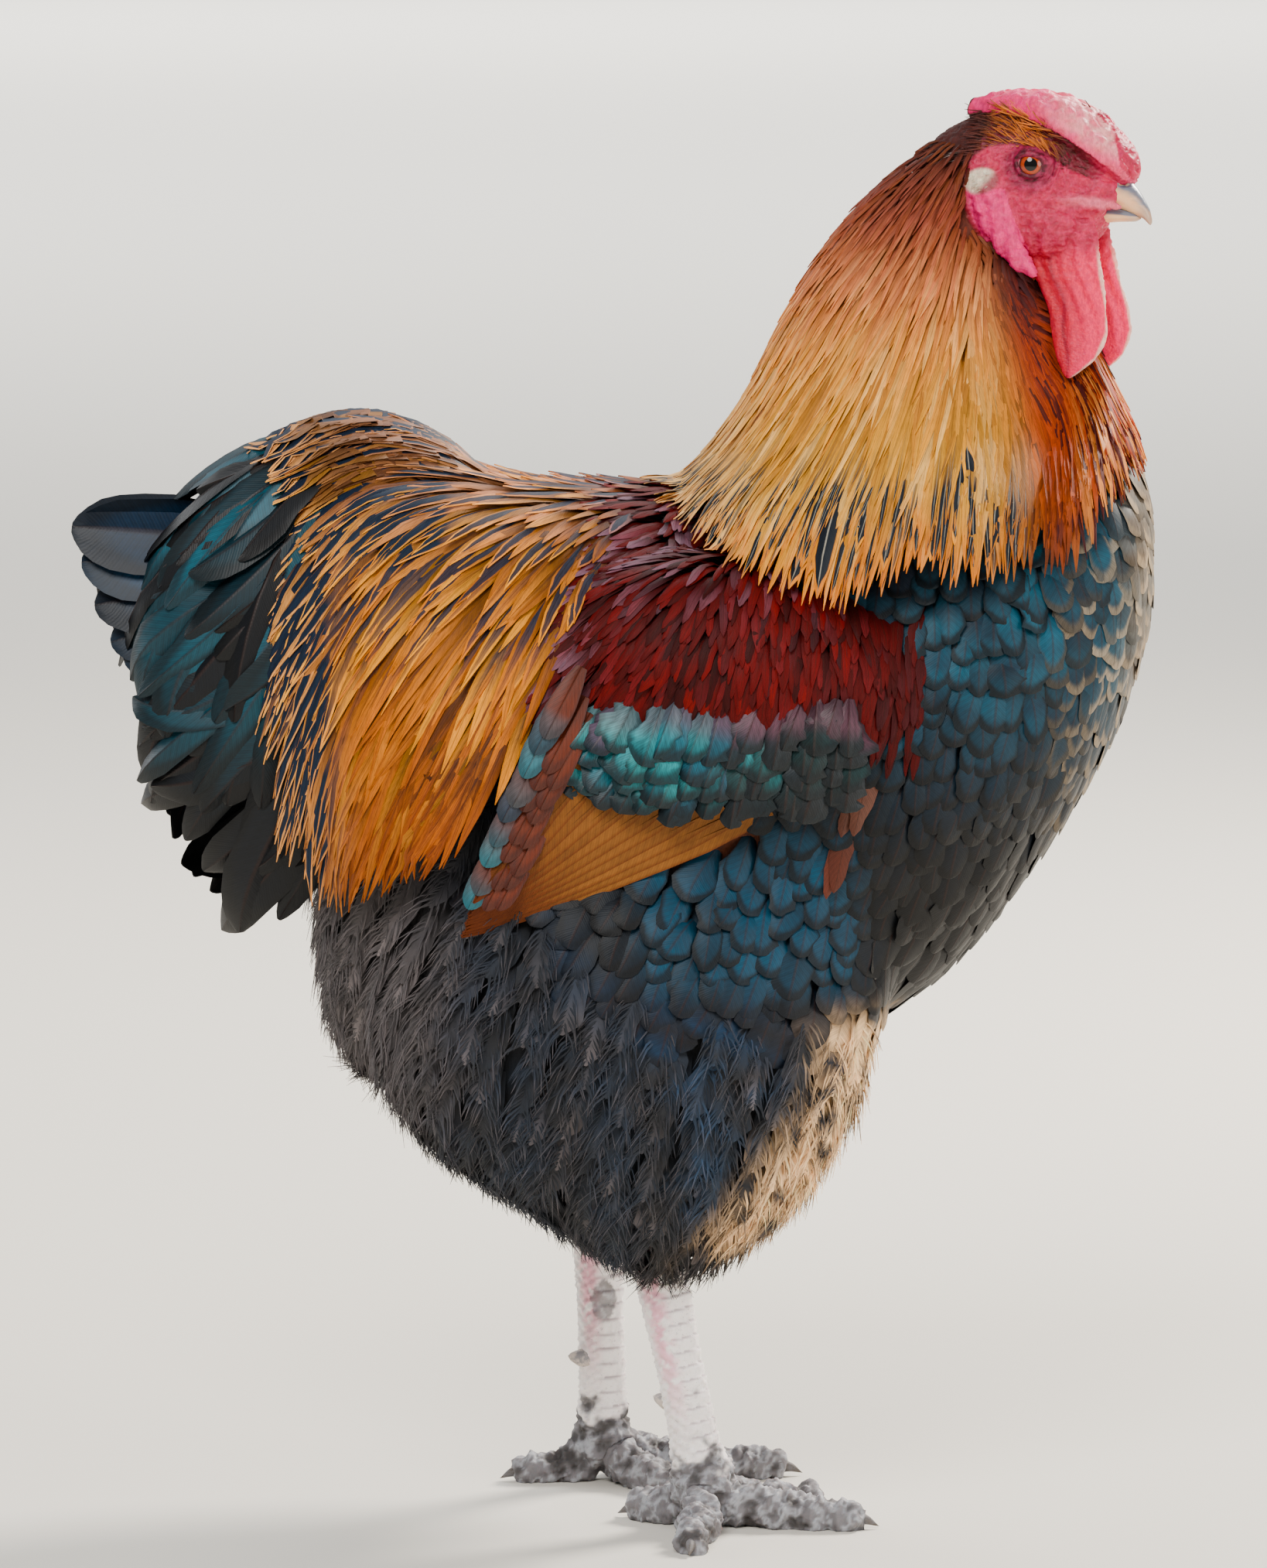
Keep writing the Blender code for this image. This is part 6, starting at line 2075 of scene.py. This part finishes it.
def flesh_tint(places, comb):
    """The colours of the bare skin, from points in the head's frame."""
    x, y, z = places.T
    cloud = 0.5 + 0.5 * np.sin(x * 700 + np.sin(z * 900)) * np.sin(z * 620)
    flesh = blend(FLESH, FLESH_DARK, (0.15 + 0.35 * cloud) * ramp(z, 0.452, 0.462))
    away = from_eye(places)[0]
    beside = ramp(np.abs(y), 0.0105, 0.0125)
    shadow = ramp(away, 0.0125, 0.0070) * beside
    flesh = blend(flesh, rgb(110, 12, 58), shadow * 0.75)
    flesh = blend(flesh, rgb(70, 10, 30), ramp(away, 0.0066, 0.0058) * beside * 0.9)
    cheek = ramp(x, 0.176, 0.160) * ramp(z, 0.472, 0.462) * ramp(z, 0.440, 0.452)
    flesh = blend(flesh, rgb(170, 0, 66), cheek * 0.65)
    # Painted highlight: pale pink along the raised lines of the creases.
    flesh = blend(flesh, rgb(244, 90, 136), ramp(ridged(places * (1, 1, 1.6), 230, 3.0), 0.35, 0.9) * 0.20)
    hang = ramp(z, 0.462, 0.452)
    back, front = columns(WATTLE, z)
    front = front + np.where(y > 0, FAR_SWING * ramp(z, 0.472, 0.412), 0)
    depth = np.clip((x - back) / (front - back), 0, 1)
    # Painted shade: the wattle darker at its back, brighter towards its front.
    wattle = blend(rgb(206, 0, 70), rgb(255, 24, 108), ramp(depth, 0.10, 0.85))
    # Painted light: the farther wattle lighter.
    wattle = blend(wattle, rgb(255, 60, 130), ramp(y, 0.002, 0.006) * 0.4)
    # Painted shade: a dark line along a fold.
    fold = np.abs(depth - 0.30 - 0.05 * np.sin(z * 260))
    wattle = blend(wattle, rgb(130, 0, 50), ramp(fold, 0.06, 0.01) * 0.6)
    # Painted rim light: a pale line along the wattle's front edge.
    rim = ramp(front - x, 0.0015, 0.0006) * ramp(z, 0.4700, 0.4640)
    wattle = blend(wattle, rgb(255, 214, 200), rim * 0.9)
    flesh = blend(flesh, wattle, hang)
    flesh = blend(flesh, blend(rgb(252, 84, 138), FLESH_DARK, cloud * 0.30), lobe_share(places) * 0.9)
    crest = blend(rgb(252, 84, 134), rgb(228, 44, 100), cloud * 0.6)
    # Painted highlight: pale peach over the comb's top and front.
    high = ramp(x, 0.150, 0.180) * (0.35 + 0.45 * ramp(ridged(places, 180, 2.0), -0.4, 0.8))
    high = high * (0.20 + 0.80 * ramp(z - 0.5155 + 0.5 * (x - 0.150), -0.010, -0.003))
    flesh = blend(flesh, blend(crest, rgb(255, 196, 190), high), comb * 0.95)
    off = places[:, (0, 2)] - EAR
    ear = np.hypot((off[:, 0] + off[:, 1] * 0.35) / 0.0068, (off[:, 1] - off[:, 0] * 0.25) / 0.0048)
    cream = blend(rgb(236, 226, 206), rgb(156, 92, 96), ramp(off[:, 0] - off[:, 1] * 0.9, -0.0010, 0.0042))
    flesh = blend(flesh, cream, ramp(ear, 1.15, 0.80) * ramp(np.abs(y), 0.010, 0.014))
    line = table([(x, z) for x, _, z, _, _ in LIPS], x)
    lips = ramp(np.abs(z - line), 0.0028, 0.0008) * ramp(x, 0.160, 0.176)
    return blend(flesh, rgb(246, 140, 156), lips * 0.65)


def skin_tint(points, comb):
    """The skin's colour. Under the coat it takes the colours of the feathers above, mostly darkened to about
    half as painted shade under them.
    """
    x, y, z = points.T
    # Painted shade: the feathers' colours at about half their brightness.
    tint = body_tint(points) * 0.55
    high = ramp(z, 0.345, 0.375)
    tint = blend(tint, stops(HACKLE_SIDE, z) * 0.5, high)
    rear = ramp(x, 0.010, -0.010) * ramp(z, 0.270, 0.290)
    tint = blend(tint, UMBER * 0.6, rear * ramp(x, -0.100, -0.080))
    tint = blend(tint, rgb(26, 30, 34), ramp(x, -0.080, -0.100))
    bow = ramp(x, -0.020, -0.010) * ramp(x, 0.105, 0.095) * ramp(z, 0.270, 0.280) * ramp(z, 0.380, 0.350)
    tint = blend(tint, MAROON * 0.6, bow)
    wing = ramp(x, -0.030, -0.022) * ramp(x, 0.066, 0.058) * ramp(z, 0.240, 0.246) * ramp(z, 0.292, 0.286)
    tint = blend(tint, rgb(104, 56, 30), wing * ramp(np.abs(y), 0.074, 0.080))
    places = to_head(points)
    edge = table(FACE_EDGE, places[:, 2])
    face = ramp(places[:, 0], edge - 0.004, edge) * ramp(z, 0.395, 0.402)
    tint = blend(tint, flesh_tint(places, comb), np.maximum(face, comb))
    above = ramp(places[:, 2] - table(CROWN_EDGE, places[:, 0]), -0.0004, 0.0008)
    brow = above * ramp(places[:, 0], 0.181, 0.172) * (1 - comb) * (z > 0.47)
    return blend(tint, rgb(88, 36, 32), brow * 0.9)


def leg_tint(points, side):
    """White plates with dark seams, a pink blush behind the knee, and dark mud on the foot."""
    along, turn, on_shank, front, saw = scutes(points, side)
    seam = ramp(saw, 0.20, 0.03) * front + ramp(np.abs(turn - PLATE_SPLIT), 0.10, 0.02)
    leg = blend(rgb(252, 246, 244), rgb(150, 130, 136), np.clip(seam, 0, 1) * on_shank * 0.7)
    blots = 0.5 + 0.5 * ridged(points, 190, 4.0)
    line = ramp(np.abs(np.abs(turn) - 2.1), 0.80, 0.10) * on_shank * ramp(along, 0.80, 0.30)
    leg = blend(leg, rgb(222, 128, 158), line * ramp(blots, 0.40, 0.80) * 0.6)
    broad = ridged(points, 70, 8.0)
    mud = ramp(points[:, 2] + 0.012 * (broad - 0.4) + 0.005 * (blots - 0.5), 0.034, 0.024)
    if side == "left":
        off = np.linalg.norm((points[:, (0, 2)] - MUD_SPOT[:2]) / MUD_SPOT[2:], axis=1)
        mud = np.maximum(mud, ramp(off - 0.5 * (blots - 0.6), 1.10, 0.95) * (turn < 0) * 0.8)
    lumps = ridged(points, 150, 7.0)
    clay = blend(rgb(112, 110, 114), rgb(34, 30, 34), ramp(broad + 0.5 * lumps, 0.75, -0.15))
    clay = blend(clay, rgb(186, 190, 196), ramp(lumps, 0.50, 0.90) * ramp(broad, -0.2, 0.5) * 0.5)
    return blend(leg, clay, mud * 0.95)


def build_skin():
    head = head_skin()
    legs = [leg_skin(side) for side in SIDES]
    mesh = united(body_skin(), [head] + legs)
    mesh.name = "skin"
    mesh.shade_smooth()
    points = coordinates(mesh)
    comb = on_comb(to_head(points)).astype(float)
    tint = np.ones((len(points), 4))
    tint[:, :3] = skin_tint(points, comb)
    for side, sign in SIDES.items():
        low = (points[:, 2] < LEG_TOP) & (points[:, 1] * sign > 0)
        tint[low, :3] = leg_tint(points[low], side)
    paint(mesh, "tint", np.clip(tint, 0, 1))
    u, v = unwrapped(points)
    add_uv(mesh, np.stack([u, v], -1))
    names = ["torso", "rump", "head", "comb"]
    for side in SIDES:
        names += [f"{part}_{side}" for part in ("thigh", "shank", "wattle", "earlobe")]
        names += [f"toe_{side}_{toe}" for toe, _, _ in TOES[side]]
    piece("skin", mesh, "under", "flesh", *names)
    mesh.materials.append(MATERIALS["flesh"])
    mesh.materials.append(MATERIALS["scales"])
    centres = vectors_of(mesh.polygons, "center")
    places = to_head(centres)
    in_front = places[:, 0] > np.maximum(table(FACE_EDGE, places[:, 2]) - 0.003, 0.12)
    bare = in_front & (centres[:, 2] > 0.400)
    kind = np.where(centres[:, 2] < LEG_TOP, 2, np.where(bare, 1, 0)).astype(np.int32)
    mesh.polygons.foreach_set("material_index", kind)
    return head


# Hard parts.
def build_eyes():
    for side, sign in SIDES.items():
        centre = EYE * (1, sign, 1)
        axis = eye_axis(side)
        turn = np.linspace(0, math.pi, 40)
        first = unit(np.cross(axis, Z_AXIS))
        second = np.cross(axis, first)
        ring = np.sin(turn)[:, None] * EYE_RADIUS
        line = centre + axis * (np.cos(turn) * EYE_RADIUS * 0.82)[:, None]
        mesh = grid_mesh(f"eye_{side}", rings(line, first * ring, second * ring, 64))
        off = coordinates(mesh) - centre
        along = off @ axis
        wide = np.linalg.norm(off - along[:, None] * axis, axis=1) / EYE_RADIUS
        place = np.ones((len(off), 4))
        place[:, 0] = np.where(along > 0, wide, 1.0)
        paint(mesh, "place", place)
        move_to(mesh, from_head(coordinates(mesh)))
        mesh.shade_smooth()
        piece(f"eyeball_{side}", mesh, "eye", "eye", f"eye_{side}")


def build_beak():
    for name, rows in (("upper", BEAK_UPPER), ("lower", BEAK_LOWER)):
        mesh = grid_mesh(f"beak_{name}", lengthwise(rows, 14, 64))
        points, outward = coordinates(mesh), normals(mesh)
        if name == "upper":
            off = (points[:, (0, 2)] - NOSTRIL[:2]) / NOSTRIL[2:]
            dent = ramp(np.linalg.norm(off, axis=1), 1.15, 0.6) * (np.abs(points[:, 1]) > 0.003)
            points = points - outward * (dent * 0.0013)[:, None]
        move_to(mesh, from_head(points))
        mesh.shade_smooth()
        piece(f"bill_{name}", mesh, "horn", "horn", f"beak_{name}")


def build_claws():
    rows = [(*row, row[-1] * CLAW_WIDTH) for row in CLAW]
    for side, sign in SIDES.items():
        for name, heading, length in TOES[side]:
            first = TOE_START + length - CLAW_ROOT
            mesh = toe_limb("claw", rows, side, heading, first, CLAW_LENGTH + CLAW_ROOT, 24)
            mesh.shade_smooth()
            piece(f"nail_{side}_{name}", mesh, "claw", "horn", f"claw_{side}_{name}")
        top, low = np.array(HOCK[side]), np.array(FOOT[side])
        share = np.linspace(0, 1, 24)[:, None]
        back, inward, rise = SPUR_REACH
        reach = np.concatenate([-back * share, -sign * inward * share, rise * share**2], 1)
        line = top + (low - top) * SPUR_PLACE + reach
        half = table(SPUR_HALF, share[:, 0])
        mesh = grid_mesh("spur", limb(line, half, half, Z_AXIS, 24))
        mesh.shade_smooth()
        piece(f"spur_horn_{side}", mesh, "spur", "horn", f"spur_{side}")


# The floor, the lights and the camera.
def build_floor():
    made = bmesh.new()
    bmesh.ops.create_grid(made, x_segments=2, y_segments=2, size=FLOOR_SIZE)
    mesh = baked("floor", made)
    shade = Shade("floor", 0.85)
    shade.set("Base Color", colour(rgb(214, 211, 204)))
    mesh.materials.append(shade.material)
    floor = linked("floor", mesh)


def aimed(name, data, place, target):
    """A light or a camera at a place, turned to a target."""
    made = linked(name, data)
    made.location = place
    made.rotation_euler = (Vector(target) - made.location).to_track_quat("-Z", "Y").to_euler()
    return made


# Lights, as (name, place, width, power, tint, target). The last two light the floor far behind.
LIGHTS = (
    ("key", (-0.6, -2.2, 2.2), 1.5, 92.0, (1.0, 0.97, 0.93), TARGET),
    ("fill", (2.2, -1.4, 0.8), 1.6, 34.0, (1.0, 0.97, 0.94), TARGET),
    ("rim", (1.5, 1.5, 1.7), 0.8, 170.0, (1.0, 0.92, 0.82), TARGET),
    ("back", (-2.0, 1.6, 1.2), 1.4, 30.0, (0.96, 0.98, 1.0), TARGET),
    ("far", (0.0, 9.0, 9.0), 9.0, 2400.0, (1.0, 1.0, 1.0), (0.0, 14.0, 0.0)),
    ("farther", (0.0, 26.0, 16.0), 20.0, 14000.0, (1.0, 1.0, 1.0), (0.0, 36.0, 0.0)),
)


def build_lights():
    for name, place, size, power, tint, target in LIGHTS:
        data = bpy.data.lights.new(name, "AREA")
        data.shape = "DISK"
        data.size = size
        data.energy = power
        data.color = tint
        aimed(name, data, place, target)
    world = bpy.data.worlds.new("studio")
    world.use_nodes = True
    ground = world.node_tree.nodes["Background"]
    ground.inputs["Color"].default_value = (0.86, 0.88, 0.90, 1)
    ground.inputs["Strength"].default_value = 0.34
    bpy.context.scene.world = world


def build_camera():
    rise = math.radians(CAMERA_RISE)
    data = bpy.data.cameras.new("camera")
    data.sensor_width = 36
    data.lens = CAMERA_LENS
    place = Vector(TARGET) + CAMERA_DISTANCE * Vector((0, -math.cos(rise), math.sin(rise)))
    bpy.context.scene.camera = aimed("camera", data, place, TARGET)


head = build_skin()
build_eyes()
build_beak()
build_claws()
build_crown(head, tree_of(head))
build_hackle()
build_saddle()
build_bow()
build_bar()
build_flights()
build_tertials()
build_coverts()
build_tail()
build_scales()
build_fluff()
build_floor()
build_lights()
build_camera()
